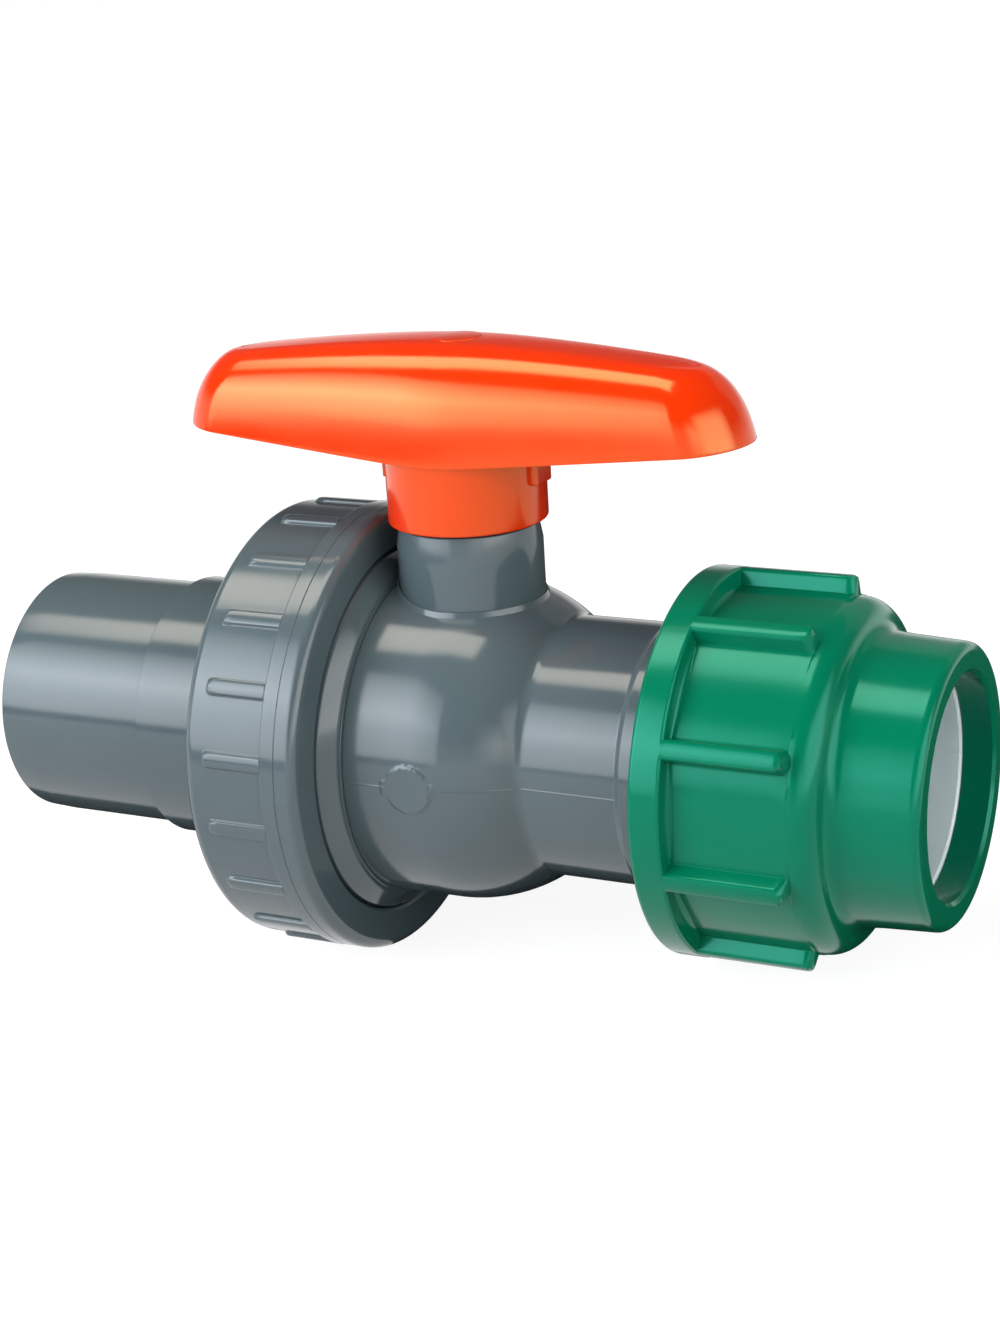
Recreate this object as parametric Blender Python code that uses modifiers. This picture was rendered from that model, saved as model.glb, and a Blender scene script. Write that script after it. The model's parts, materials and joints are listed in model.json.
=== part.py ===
# Two-way union ball valve for plastic pipe: a solvent-cement spigot on a loose union at one end
# and a compression socket for polyethylene pipe at the other, with a removable bar handle.
# Metres, +Z up. The pipe axis runs along X and the stem axis along Z.

import math

import bmesh
import bpy
from mathutils import Matrix, Vector

MM = 0.001
RING_STEPS = 32
STEM_STEPS = 20
SEAL_SIDES = 6
BAR_SIDE_STEPS = 4
BAR_END_STEPS = 4
BAR_ROUND_STEPS = 3
GLOBE_STEPS = 5
SHOULDER_STEPS = 3
SHARP_ANGLE = 35
MERGE = 0.01 * MM

# Shares of a pitch at a thread ridge's foot and crest, of a rounded edge at its middle point, of a
# tooth's pitch along its slope, and of the bar's height that is straight
THREAD_BASE_SHARE = 0.53
THREAD_TIP_SHARE = 0.27
ROUND_SHARE = 0.3
TOOTH_SHARE = 0.8
BAR_SIDE_SHARE = 0.45

# A nut's own thread is this many turns shorter than the one that it runs on
NUT_THREAD_SHORTER = 0.5

# Clearances
SEAT_GAP = 0.3 * MM
RUN_GAP = 0.4 * MM
THREAD_GAP = 0.6 * MM
JOINT_GAP = 0.1 * MM
OVERLAP = 0.7 * MM

# Flow way and ball
BORE_DIAMETER = 40.0 * MM
BALL_WALL = 9.5 * MM
BALL_CLEARANCE = 1.5 * MM
BODY_WALL = 9.4 * MM

# Ball seats and the round cushions behind them
SEAT_LIP = 0.6 * MM
SEAT_WIDTH = 6.4 * MM
SEAT_RIM = 1.8 * MM
SEAT_EDGE = 1.9 * MM
CUSHION_SECTION = 2.6 * MM

# Screw-in seat carrier
CARRIER_WEB = 1.2 * MM
CARRIER_SEAL_SECTION = 2.6 * MM
CARRIER_LAND = 1.3 * MM
CARRIER_SHOULDER = 1.4 * MM
CARRIER_THREAD_LENGTH = 7.0 * MM
CARRIER_THREAD_HEIGHT = 1.6 * MM
CARRIER_THREAD_PITCH = 4.0 * MM
CARRIER_THREAD_TURNS = 0.75
CARRIER_SLOT_DEPTH = 6.0 * MM

# Union: external thread on the body, loose nut, spigot tail
UNION_WALL = 8.9 * MM
UNION_THREAD_HEIGHT = 2.1 * MM
UNION_THREAD_PITCH = 6.0 * MM
UNION_THREAD_TURNS = 2.25
UNION_LEAD_IN = 2.2 * MM
BODY_COLLAR_WIDTH = 3.4 * MM
BODY_CHAMFER = 1.0 * MM
UNION_NUT_WALL = 9.1 * MM
UNION_NUT_END = 5.0 * MM
UNION_NUT_OVERRUN = 0.2 * MM
UNION_BAND_WIDTH = 9.5 * MM
UNION_RIB_HEIGHT = 1.0 * MM
UNION_RIB_WIDTH = 3.4 * MM
UNION_RIB_INSET = 2.9 * MM
UNION_RIB_COUNT = 20
UNION_RIB_PHASE = 10.0
UNION_EDGE = 3.0 * MM
UNION_BEVEL = 1.4 * MM
FACE_SEAL_SECTION = 3.5 * MM
TAIL_FLANGE_WEB = 2.7 * MM
TAIL_NECK_LENGTH = 28.5 * MM
TAIL_STEP = 1.8 * MM
SPIGOT_LENGTH = 42.0 * MM
SPIGOT_SOCKET_DIAMETER = 50.2 * MM
SPIGOT_SOCKET_DEPTH = 31.0 * MM
SPIGOT_WALL = 6.4 * MM
SPIGOT_CHAMFER = 1.5 * MM

# Compression end for polyethylene pipe
PIPE_DIAMETER = 50.0 * MM
PIPE_GAP = 0.3 * MM
NECK_WALL = 6.5 * MM
NECK_FILLET = 3.0 * MM
NECK_STEP = 1.4 * MM
NECK_STEP_WIDTH = 9.0 * MM
PIPE_STOP_WALL = 18.7 * MM
PIPE_STOP_LIP = 1.0 * MM
SOCKET_DEPTH = 38.0 * MM
PIPE_SEAL_SECTION = 5.0 * MM
SEAL_POCKET_WALL = 5.5 * MM
SEAL_POCKET_SPARE = 2.2 * MM
COMPRESSION_THREAD_HEIGHT = 2.0 * MM
COMPRESSION_THREAD_PITCH = 6.0 * MM
COMPRESSION_THREAD_TURNS = 2.75
COMPRESSION_THREAD_LENGTH = 24.0 * MM
BUSH_FLANGE_WIDTH = 4.5 * MM
BUSH_FLANGE_STEP = 2.0 * MM
CLAMP_WALL = 3.8 * MM
CLAMP_LENGTH = 25.3 * MM
CLAMP_TAPER = 3.1 * MM
CLAMP_SLIT = 3.0 * MM
CLAMP_TOOTH_HEIGHT = 0.9 * MM
CLAMP_TOOTH_PITCH = 3.2 * MM
CLAMP_TOOTH_COUNT = 4
COMPRESSION_NUT_WALL = 2.9 * MM
COMPRESSION_FLANGE_STEP = 4.6 * MM
COMPRESSION_FLANGE_WIDTH = 7.8 * MM
COMPRESSION_FLANGE_INSET = 1.0 * MM
COMPRESSION_RIB_WIDTH = 4.6 * MM
COMPRESSION_RIB_COUNT = 9
COMPRESSION_RIB_PHASE = 27.0
NOSE_WALL = 3.4 * MM
NOSE_DRAFT = 0.9 * MM
NUT_SHOULDER = 4.7 * MM
SHOULDER_ROUND = 6.5 * MM
SHOULDER_START = 10
FLANGE_EDGE = 1.2 * MM
NOSE_EDGE = 2.4 * MM
LIP_WIDTH = 7.8 * MM
LIP_GAP = 1.2 * MM

# Stem and boss
STEM_DIAMETER = 20.0 * MM
BOSS_WALL = 7.5 * MM
BOSS_BEARING = 20.1 * MM
SLOT_FLOOR_WALL = 2.4 * MM
BLADE_THICKNESS = 10.0 * MM
BLADE_LENGTH = 24.0 * MM
STEM_HEAD_STEP = 3.0 * MM
STEM_HEAD_THICKNESS = 2.9 * MM
WASHER_THICKNESS = 1.2 * MM
STEM_SEAL_SECTION = 2.6 * MM
STEM_SEAL_OFFSET = 4.5 * MM
STEM_SEAL_PITCH = 6.5 * MM
DRIVE_SQUARE = 13.0 * MM
DRIVE_LENGTH = 38.0 * MM

# Bar handle
HUB_STEP = 1.0 * MM
HUB_GAP = 0.7 * MM
HUB_HEIGHT = 16.7 * MM
HANDLE_LENGTH = 147.6 * MM
HANDLE_WIDTH = 39.6 * MM
HANDLE_END_WIDTH = 27.6 * MM
HANDLE_END_ROUND = 14.0 * MM
HANDLE_HEIGHT = 27.6 * MM
HANDLE_RIM_RISE = 5.4 * MM
HANDLE_TOP_DROP = 4.2 * MM
HANDLE_TOP_POWER = 1.5
HANDLE_SIDE_DRAFT = 3.2 * MM
HANDLE_TOP_ROUND = 11.5 * MM
HANDLE_WALL = 3.0 * MM
HUB_WEB = 5.0 * MM
CAP_DIAMETER = 11.6 * MM
CAP_HEIGHT = 0.4 * MM
LUG_WIDTH = 8.0 * MM
LUG_STEP = 1.6 * MM
LUG_DROP = 7.0 * MM

# Radii that the pieces share, from the bore outwards
bore_r = BORE_DIAMETER / 2
ball_r = bore_r + BALL_WALL
cavity_r = ball_r + BALL_CLEARANCE
barrel_r = cavity_r + BODY_WALL
plug_r = cavity_r - RUN_GAP
seat_in = bore_r + SEAT_LIP
seat_out = seat_in + SEAT_WIDTH
seat_mid = (seat_in + seat_out) / 2
pocket_r = seat_out + SEAT_GAP
carrier_root = cavity_r + CARRIER_SHOULDER
carrier_crest = carrier_root + CARRIER_THREAD_HEIGHT
carrier_bore = carrier_crest + THREAD_GAP
union_root = carrier_bore + UNION_WALL
union_crest = union_root + UNION_THREAD_HEIGHT
union_nut_in = union_crest + THREAD_GAP
union_nut_crest = union_nut_in - UNION_THREAD_HEIGHT
union_nut_out = union_nut_in + UNION_NUT_WALL
union_band_r = union_nut_out + UNION_RIB_HEIGHT
tail_flange_r = union_nut_crest - THREAD_GAP
spigot_socket_r = SPIGOT_SOCKET_DIAMETER / 2
spigot_r = spigot_socket_r + SPIGOT_WALL
tail_r = spigot_r + TAIL_STEP
socket_r = PIPE_DIAMETER / 2 + PIPE_GAP
neck_r = socket_r + NECK_WALL
seal_pocket_r = socket_r + PIPE_SEAL_SECTION + 2 * SEAT_GAP
compression_root = seal_pocket_r + SEAL_POCKET_WALL
compression_crest = compression_root + COMPRESSION_THREAD_HEIGHT
compression_nut_in = compression_crest + THREAD_GAP
compression_nut_crest = compression_nut_in - COMPRESSION_THREAD_HEIGHT
compression_nut_out = compression_nut_in + COMPRESSION_NUT_WALL
compression_flange_r = compression_nut_out + COMPRESSION_FLANGE_STEP
grip_in = socket_r + SEAT_GAP
clamp_tip = grip_in + CLAMP_WALL
clamp_base = clamp_tip + CLAMP_TAPER
nose_r = clamp_base - CLAMP_TAPER / 2 + NOSE_WALL
stem_r = STEM_DIAMETER / 2
stem_hole_r = stem_r + SEAT_GAP
boss_r = stem_hole_r + BOSS_WALL
head_r = stem_r + STEM_HEAD_STEP
head_hole_r = head_r + RUN_GAP
hub_r = boss_r + HUB_STEP

# Distances from the stem axis along the pipe, both ways from the ball
contact_x = math.sqrt((ball_r + SEAT_GAP) ** 2 - seat_mid ** 2)
seat_slope = seat_mid / contact_x
seat_front = contact_x - (seat_out - SEAT_RIM - seat_mid) * seat_slope
seat_bore_edge = contact_x + (seat_mid - seat_in) * seat_slope
seat_back = seat_bore_edge + SEAT_EDGE
pocket_x = seat_back + SEAT_GAP
cushion_x = pocket_x + CUSHION_SECTION / 2
cushion_groove_x = pocket_x + CUSHION_SECTION + SEAT_GAP
cushion_half = CUSHION_SECTION / 2 + SEAT_GAP

carrier_seal_start = cushion_groove_x + CARRIER_WEB
carrier_seal_end = carrier_seal_start + CARRIER_SEAL_SECTION + 2 * SEAT_GAP
carrier_shoulder_x = carrier_seal_end + CARRIER_LAND
carrier_back = carrier_shoulder_x + CARRIER_THREAD_LENGTH
body_step_x = carrier_shoulder_x - SEAT_GAP
body_left = carrier_back + SEAT_GAP
tail_face = body_left + SEAT_GAP
tail_flange_x = tail_face + FACE_SEAL_SECTION + SEAT_GAP + TAIL_FLANGE_WEB
union_nut_step = tail_flange_x + RUN_GAP
union_nut_left = union_nut_step + UNION_NUT_END
spigot_x = union_nut_left + TAIL_NECK_LENGTH
spigot_end = spigot_x + SPIGOT_LENGTH
union_thread_x = body_left - UNION_LEAD_IN
union_thread_run = UNION_THREAD_PITCH * UNION_THREAD_TURNS
union_ridge_base = UNION_THREAD_PITCH * THREAD_BASE_SHARE
union_ridge_tip = UNION_THREAD_PITCH * THREAD_TIP_SHARE
collar_x = union_thread_x - union_thread_run - union_ridge_base / 2 - THREAD_GAP
collar_end = collar_x - BODY_COLLAR_WIDTH
union_nut_right = collar_end + BODY_COLLAR_WIDTH / 2 + UNION_NUT_OVERRUN

pipe_stop_x = cushion_groove_x + PIPE_STOP_WALL
neck_joint_x = pipe_stop_x - PIPE_STOP_LIP
body_right = pipe_stop_x + SOCKET_DEPTH
seal_pocket_x = body_right - PIPE_SEAL_SECTION - SEAT_GAP - SEAL_POCKET_SPARE
pipe_seal_x = seal_pocket_x + SEAT_GAP + PIPE_SEAL_SECTION / 2
bush_left = pipe_seal_x + PIPE_SEAL_SECTION / 2 + SEAT_GAP
bush_step = body_right + SEAT_GAP
bush_right = bush_step + BUSH_FLANGE_WIDTH
bush_flange_r = seal_pocket_r + BUSH_FLANGE_STEP
clamp_left = bush_right + SEAT_GAP
clamp_right = clamp_left + CLAMP_LENGTH
lip_x = clamp_right + SEAT_GAP
nut_right = lip_x + LIP_WIDTH
compression_thread_x = body_right - COMPRESSION_THREAD_LENGTH
nut_left = compression_thread_x - COMPRESSION_FLANGE_INSET
neck_step_x = compression_thread_x - NECK_STEP_WIDTH
compression_ridge_base = COMPRESSION_THREAD_PITCH * THREAD_BASE_SHARE
compression_ridge_tip = COMPRESSION_THREAD_PITCH * THREAD_TIP_SHARE

# Heights above the pipe axis
slot_floor = bore_r + SLOT_FLOOR_WALL
blade_bottom = slot_floor + RUN_GAP
head_bottom = ball_r + HUB_GAP
head_top = head_bottom + STEM_HEAD_THICKNESS
washer_bottom = head_top + SEAT_GAP
washer_top = washer_bottom + WASHER_THICKNESS
boss_floor = washer_top + SEAT_GAP
boss_top = boss_floor + BOSS_BEARING
hub_bottom = boss_top + HUB_GAP
rim_z = hub_bottom + HUB_HEIGHT
handle_top = rim_z + HANDLE_HEIGHT
drive_top = boss_top + DRIVE_LENGTH

# The reference point on the floor, under the middle of the part
AXIS_HEIGHT = union_band_r
MIDDLE_X = (nut_right - spigot_end) / 2

for old in list(bpy.data.objects):
    bpy.data.objects.remove(old, do_unlink=True)

valve = bpy.data.collections.new("union_ball_valve")
cutters = bpy.data.collections.new("cutters")
bpy.context.scene.collection.children.link(valve)
bpy.context.scene.collection.children.link(cutters)
cutters.hide_render = True

centre = bpy.data.objects.new("ball_centre", None)
centre.location = (-MIDDLE_X, 0, AXIS_HEIGHT)
valve.objects.link(centre)


def finish(name, red, green, blue, roughness):
    made = bpy.data.materials.new(name)
    made.use_nodes = True
    shader = made.node_tree.nodes["Principled BSDF"]
    shader.inputs["Base Color"].default_value = (red, green, blue, 1)
    shader.inputs["Roughness"].default_value = roughness
    shader.inputs["Metallic"].default_value = 0
    return made


grey_pvc = finish("grey_pvc", 0.135, 0.165, 0.18, 0.35)
orange_abs = finish("orange_abs", 0.87, 0.075, 0.015, 0.3)
green_pp = finish("green_pp", 0.005, 0.22, 0.1, 0.35)
white_pom = finish("white_pom", 0.62, 0.66, 0.68, 0.4)
black_pom = finish("black_pom", 0.02, 0.02, 0.02, 0.45)
white_ptfe = finish("white_ptfe", 0.75, 0.75, 0.72, 0.5)
black_epdm = finish("black_epdm", 0.012, 0.012, 0.012, 0.7)


def place(name, mesh, look, helper=False):
    made = bpy.data.objects.new(name, mesh)
    made.parent = centre
    if helper:
        cutters.objects.link(made)
        made.hide_render = True
        made.display_type = "WIRE"
    else:
        valve.objects.link(made)
        mesh.materials.append(look)
    mesh.shade_smooth()
    mesh.set_sharp_from_angle(angle=math.radians(SHARP_ANGLE))
    return made


def along_pipe(made):
    made.rotation_euler = (0, math.pi / 2, 0)
    return made


# A turned piece. The outline holds (height, radius) pairs: down the outer side, then up the inner
# side. It is closed unless both its ends lie on the axis.
def turned(name, outline, look=None, closed=True, steps=RING_STEPS):
    mesh = bpy.data.meshes.new(name)
    count = len(outline)
    edges = [(i, (i + 1) % count) for i in range(count if closed else count - 1)]
    mesh.from_pydata([(radius, 0, height) for height, radius in outline], edges, [])
    made = place(name, mesh, look, helper=look is None)
    screw = made.modifiers.new("turn", "SCREW")
    screw.axis = "Z"
    screw.angle = math.tau
    screw.steps = steps
    screw.render_steps = steps
    screw.use_merge_vertices = True
    screw.merge_threshold = MERGE
    screw.use_smooth_shade = True
    return made


def seal_ring(name, height, middle, section, steps=RING_STEPS):
    outline = []
    for i in range(SEAL_SIDES):
        turn = math.tau * (i + 0.5) / SEAL_SIDES
        outline.append((height + section / 2 * math.cos(turn), middle + section / 2 * math.sin(turn)))
    return turned(name, outline, black_epdm, steps=steps)


def arc(middle_x, middle_r, radius, start, end, count):
    points = []
    for i in range(count + 1):
        turn = math.radians(start + (end - start) * i / count)
        points.append((middle_x + radius * math.cos(turn), middle_r + radius * math.sin(turn)))
    return points


def solid(name, shape, look=None):
    bmesh.ops.recalc_face_normals(shape, faces=shape.faces)
    mesh = bpy.data.meshes.new(name)
    shape.to_mesh(mesh)
    shape.free()
    return place(name, mesh, look, helper=look is None)


def add_box(shape, low, high, turn=None):
    size = Vector(high) - Vector(low)
    middle = (Vector(high) + Vector(low)) / 2
    matrix = Matrix.Translation(middle) @ Matrix.Diagonal((*size, 1))
    bmesh.ops.create_cube(shape, size=1, matrix=(turn @ matrix) if turn else matrix)


def box(name, low, high):
    shape = bmesh.new()
    add_box(shape, low, high)
    return solid(name, shape)


def join(made, other, operation="UNION"):
    change = made.modifiers.new(other.name, "BOOLEAN")
    change.operation = operation
    change.solver = "EXACT"
    change.object = other


def cut(made, other):
    join(made, other, "DIFFERENCE")


# One unbroken right-hand thread ridge, wound up the local Z axis from a trapezoid section.
def thread_ridge(name, base_r, crest_r, base, tip, start, pitch, turns):
    shape = bmesh.new()
    corners = [(base_r, -base / 2), (crest_r, -tip / 2), (crest_r, tip / 2), (base_r, base / 2)]
    section = shape.faces.new([shape.verts.new((radius, 0, start + rise)) for radius, rise in corners])
    steps = round(RING_STEPS * turns)
    bmesh.ops.spin(
        shape,
        geom=[section, *section.edges, *section.verts],
        cent=(0, 0, 0),
        axis=(0, 0, 1),
        dvec=(0, 0, pitch * turns / steps),
        angle=math.tau * turns,
        steps=steps,
    )
    return along_pipe(solid(name, shape))


# Straight ribs round a nut, each sunk a little into its wall.
def ribs(name, left, right, low_r, high_r, width, count, phase):
    shape = bmesh.new()
    for i in range(count):
        turn = Matrix.Rotation(math.radians(phase + 360 * i / count), 4, "X")
        add_box(shape, (left, -width / 2, low_r), (right, width / 2, high_r), turn)
    return solid(name, shape)


def build_body():
    globe_end = math.degrees(math.asin((neck_r + NECK_FILLET / 2) / barrel_r))
    globe = arc(0, 0, barrel_r, globe_end, 90, GLOBE_STEPS)
    outline = [
        (pipe_stop_x, socket_r - JOINT_GAP),
        (neck_joint_x, socket_r - JOINT_GAP),
        (neck_joint_x, neck_r),
        (globe[0][0] + NECK_FILLET, neck_r),
        *globe,
        (-collar_end, barrel_r),
        (-collar_end, union_crest - BODY_CHAMFER),
        (-collar_end - BODY_CHAMFER, union_crest),
        (-collar_x, union_crest),
        (-collar_x, union_root),
        (-body_left, union_root),
        (-body_left, carrier_bore),
        (-body_step_x, carrier_bore),
        (-body_step_x, cavity_r),
        (seat_front, cavity_r),
        (seat_front, pocket_r),
        (pocket_x, pocket_r),
        (pocket_x, seat_mid + cushion_half),
        (cushion_groove_x, seat_mid + cushion_half),
        (cushion_groove_x, seat_mid - cushion_half),
        (pocket_x, seat_mid - cushion_half),
        (pocket_x, bore_r),
        (pipe_stop_x, bore_r),
    ]
    body = along_pipe(turned("valve_body", outline, grey_pvc))
    boss_foot = cavity_r + OVERLAP
    boss = [(boss_top, 0), (boss_top, boss_r), (boss_foot, boss_r), (boss_foot, 0)]
    join(body, turned("boss", boss, closed=False))
    head_hole = [(boss_floor, 0), (boss_floor, head_hole_r), (0, head_hole_r), (0, 0)]
    cut(body, turned("stem_head_hole", head_hole, closed=False, steps=STEM_STEPS))
    above = boss_top + HUB_GAP
    stem_hole = [(above, 0), (above, stem_hole_r), (0, stem_hole_r), (0, 0)]
    cut(body, turned("stem_hole", stem_hole, closed=False, steps=STEM_STEPS))
    join(body, thread_ridge("union_thread", union_root - OVERLAP, union_crest, union_ridge_base,
                            union_ridge_tip, -union_thread_x, UNION_THREAD_PITCH, UNION_THREAD_TURNS))
    base = CARRIER_THREAD_PITCH * THREAD_BASE_SHARE
    tip = CARRIER_THREAD_PITCH * THREAD_TIP_SHARE
    join(body, thread_ridge("carrier_nut_thread", carrier_bore + OVERLAP,
                            carrier_bore - CARRIER_THREAD_HEIGHT, base, tip, -carrier_back + base / 2,
                            CARRIER_THREAD_PITCH, CARRIER_THREAD_TURNS))


# The threaded end of the neck, joined to the body at the pipe stop.
def build_pipe_end():
    outline = [
        (body_right, compression_root - BODY_CHAMFER),
        (body_right - BODY_CHAMFER, compression_root),
        (compression_thread_x, compression_root),
        (compression_thread_x, neck_r + NECK_STEP),
        (neck_step_x, neck_r + NECK_STEP),
        (neck_step_x - NECK_STEP, neck_r),
        (neck_joint_x + JOINT_GAP, neck_r),
        (neck_joint_x + JOINT_GAP, socket_r),
        (seal_pocket_x, socket_r),
        (seal_pocket_x, seal_pocket_r),
        (body_right, seal_pocket_r),
    ]
    pipe_end = along_pipe(turned("threaded_pipe_end", outline, grey_pvc))
    start = compression_thread_x + compression_ridge_base
    ridge = thread_ridge("compression_thread", compression_root - OVERLAP, compression_crest,
                         compression_ridge_base, compression_ridge_tip, start,
                         COMPRESSION_THREAD_PITCH, COMPRESSION_THREAD_TURNS)
    ridge.rotation_euler.rotate_axis("Z", math.pi / RING_STEPS)
    join(pipe_end, ridge)


def mirrored(outline):
    return [(-height, radius) for height, radius in reversed(outline)]


def build_seats():
    seat = [
        (seat_back, seat_out),
        (seat_front, seat_out),
        (seat_front, seat_out - SEAT_RIM),
        (seat_bore_edge, seat_in),
        (seat_back, seat_in),
    ]
    along_pipe(turned("pipe_side_ball_seat", seat, white_ptfe))
    along_pipe(turned("union_side_ball_seat", mirrored(seat), white_ptfe))
    along_pipe(seal_ring("pipe_side_seat_cushion", cushion_x, seat_mid, CUSHION_SECTION))
    along_pipe(seal_ring("union_side_seat_cushion", -cushion_x, seat_mid, CUSHION_SECTION))


def build_carrier():
    seal_mid = cavity_r - SEAT_GAP - CARRIER_SEAL_SECTION / 2
    seal_floor = seal_mid - CARRIER_SEAL_SECTION / 2 - SEAT_GAP
    outline = [
        (-seat_front, plug_r),
        (-carrier_seal_start, plug_r),
        (-carrier_seal_start, seal_floor),
        (-carrier_seal_end, seal_floor),
        (-carrier_seal_end, plug_r),
        (-carrier_shoulder_x, plug_r),
        (-carrier_shoulder_x, carrier_root),
        (-carrier_back, carrier_root),
        (-carrier_back, bore_r),
        (-pocket_x, bore_r),
        (-pocket_x, seat_mid - cushion_half),
        (-cushion_groove_x, seat_mid - cushion_half),
        (-cushion_groove_x, seat_mid + cushion_half),
        (-pocket_x, seat_mid + cushion_half),
        (-pocket_x, pocket_r),
        (-seat_front, pocket_r),
    ]
    carrier = along_pipe(turned("seat_carrier", outline, grey_pvc))
    base = CARRIER_THREAD_PITCH * THREAD_BASE_SHARE
    tip = CARRIER_THREAD_PITCH * THREAD_TIP_SHARE
    start = -carrier_back + base / 2 + CARRIER_THREAD_PITCH / 2
    join(carrier, thread_ridge("carrier_thread", carrier_root - OVERLAP, carrier_crest, base, tip,
                               start, CARRIER_THREAD_PITCH, CARRIER_THREAD_TURNS))
    reach = hub_r + LUG_STEP + THREAD_GAP
    half = LUG_WIDTH / 2 + RUN_GAP
    cut(carrier, box("carrier_key_slot", (-carrier_back - OVERLAP, -reach, -half),
                     (-carrier_back + CARRIER_SLOT_DEPTH, reach, half)))
    middle = (carrier_seal_start + carrier_seal_end) / 2
    along_pipe(seal_ring("carrier_o_ring", -middle, seal_mid, CARRIER_SEAL_SECTION))


def build_union():
    face_mid = (carrier_bore + union_root) / 2
    face_half = FACE_SEAL_SECTION / 2 + SEAT_GAP
    groove_x = tail_face + FACE_SEAL_SECTION + SEAT_GAP
    socket_floor = spigot_end - SPIGOT_SOCKET_DEPTH
    tail = [
        (-tail_face, tail_flange_r),
        (-tail_flange_x, tail_flange_r),
        (-tail_flange_x, tail_r),
        (-spigot_x, tail_r),
        (-spigot_x, bore_r),
        (-tail_face, bore_r),
        (-tail_face, face_mid - face_half),
        (-groove_x, face_mid - face_half),
        (-groove_x, face_mid + face_half),
        (-tail_face, face_mid + face_half),
    ]
    along_pipe(turned("union_tail", tail, grey_pvc))
    spigot = [
        (-spigot_x - JOINT_GAP, spigot_r),
        (-spigot_end + SPIGOT_CHAMFER, spigot_r),
        (-spigot_end, spigot_r - SPIGOT_CHAMFER),
        (-spigot_end, spigot_socket_r + SPIGOT_CHAMFER / 2),
        (-spigot_end + SPIGOT_CHAMFER, spigot_socket_r),
        (-socket_floor, spigot_socket_r),
        (-socket_floor, bore_r),
        (-spigot_x - JOINT_GAP, bore_r),
    ]
    along_pipe(turned("spigot_tube", spigot, grey_pvc))
    seal_x = tail_face + FACE_SEAL_SECTION / 2
    along_pipe(seal_ring("union_face_o_ring", -seal_x, face_mid, FACE_SEAL_SECTION))

    hole = tail_r + THREAD_GAP
    band_left = union_nut_right + UNION_BAND_WIDTH
    nut = [
        (-union_nut_right, union_band_r - UNION_BEVEL),
        (-union_nut_right - UNION_BEVEL, union_band_r),
        (-band_left, union_band_r),
        (-band_left, union_nut_out),
        (-union_nut_left + UNION_EDGE, union_nut_out),
        (-union_nut_left + UNION_EDGE * ROUND_SHARE, union_nut_out - UNION_EDGE * ROUND_SHARE),
        (-union_nut_left, union_nut_out - UNION_EDGE),
        (-union_nut_left, hole),
        (-union_nut_step, hole),
        (-union_nut_step, union_nut_in),
        (-union_nut_right, union_nut_in),
    ]
    union_nut = along_pipe(turned("union_nut", nut, grey_pvc))
    rib_left = -union_nut_left + UNION_EDGE + UNION_RIB_INSET
    join(union_nut, ribs("union_nut_ribs", rib_left, -band_left + OVERLAP, union_nut_out - OVERLAP,
                         union_band_r, UNION_RIB_WIDTH, UNION_RIB_COUNT, UNION_RIB_PHASE))
    join(union_nut, thread_ridge("union_nut_thread", union_nut_in + OVERLAP, union_nut_crest,
                                 union_ridge_base, union_ridge_tip,
                                 -union_thread_x + UNION_THREAD_PITCH / 2, UNION_THREAD_PITCH,
                                 UNION_THREAD_TURNS - NUT_THREAD_SHORTER))


def build_ball():
    shape = bmesh.new()
    bmesh.ops.create_uvsphere(shape, u_segments=RING_STEPS, v_segments=RING_STEPS // 2, radius=ball_r)
    ball = solid("ball", shape, grey_pvc)
    reach = ball_r + OVERLAP
    bore = [(reach, 0), (reach, bore_r), (-reach, bore_r), (-reach, 0)]
    cut(ball, along_pipe(turned("ball_bore", bore, closed=False)))
    half = BLADE_THICKNESS / 2 + RUN_GAP
    cut(ball, box("ball_slot", (-half, -reach, slot_floor), (half, reach, reach)))


def build_stem():
    seal_mid = stem_hole_r - SEAT_GAP - STEM_SEAL_SECTION / 2
    seal_floor = seal_mid - STEM_SEAL_SECTION / 2 - SEAT_GAP
    seal_half = STEM_SEAL_SECTION / 2 + SEAT_GAP
    lower = boss_floor + STEM_SEAL_OFFSET
    upper = lower + STEM_SEAL_PITCH
    outline = [(boss_top, 0), (boss_top, stem_r)]
    for seal_z in (upper, lower):
        outline += [
            (seal_z + seal_half, stem_r),
            (seal_z + seal_half, seal_floor),
            (seal_z - seal_half, seal_floor),
            (seal_z - seal_half, stem_r),
        ]
    outline += [(head_top, stem_r), (head_top, head_r), (head_bottom, head_r), (head_bottom, 0)]
    stem = turned("stem", outline, grey_pvc, closed=False, steps=STEM_STEPS)
    join(stem, box("stem_blade", (-BLADE_THICKNESS / 2, -BLADE_LENGTH / 2, blade_bottom),
                   (BLADE_THICKNESS / 2, BLADE_LENGTH / 2, head_bottom + OVERLAP)))
    half = DRIVE_SQUARE / 2
    join(stem, box("stem_square", (-half, -half, boss_top - OVERLAP), (half, half, drive_top)))
    seal_ring("lower_stem_o_ring", lower, seal_mid, STEM_SEAL_SECTION, STEM_STEPS)
    seal_ring("upper_stem_o_ring", upper, seal_mid, STEM_SEAL_SECTION, STEM_STEPS)
    washer_in = stem_r + RUN_GAP
    washer = [
        (washer_top, head_r),
        (washer_bottom, head_r),
        (washer_bottom, washer_in),
        (washer_top, washer_in),
    ]
    turned("stem_thrust_washer", washer, white_ptfe, steps=STEM_STEPS)


# Half the bar's width at a share of the way from its middle to its tip.
def bar_half_width(share):
    width = (HANDLE_WIDTH + (HANDLE_END_WIDTH - HANDLE_WIDTH) * share) / 2
    round_start = 1 - 2 * HANDLE_END_ROUND / HANDLE_LENGTH
    if share > round_start:
        width *= math.sqrt(max(0, 1 - ((share - round_start) / (1 - round_start)) ** 2))
    return width


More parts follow.
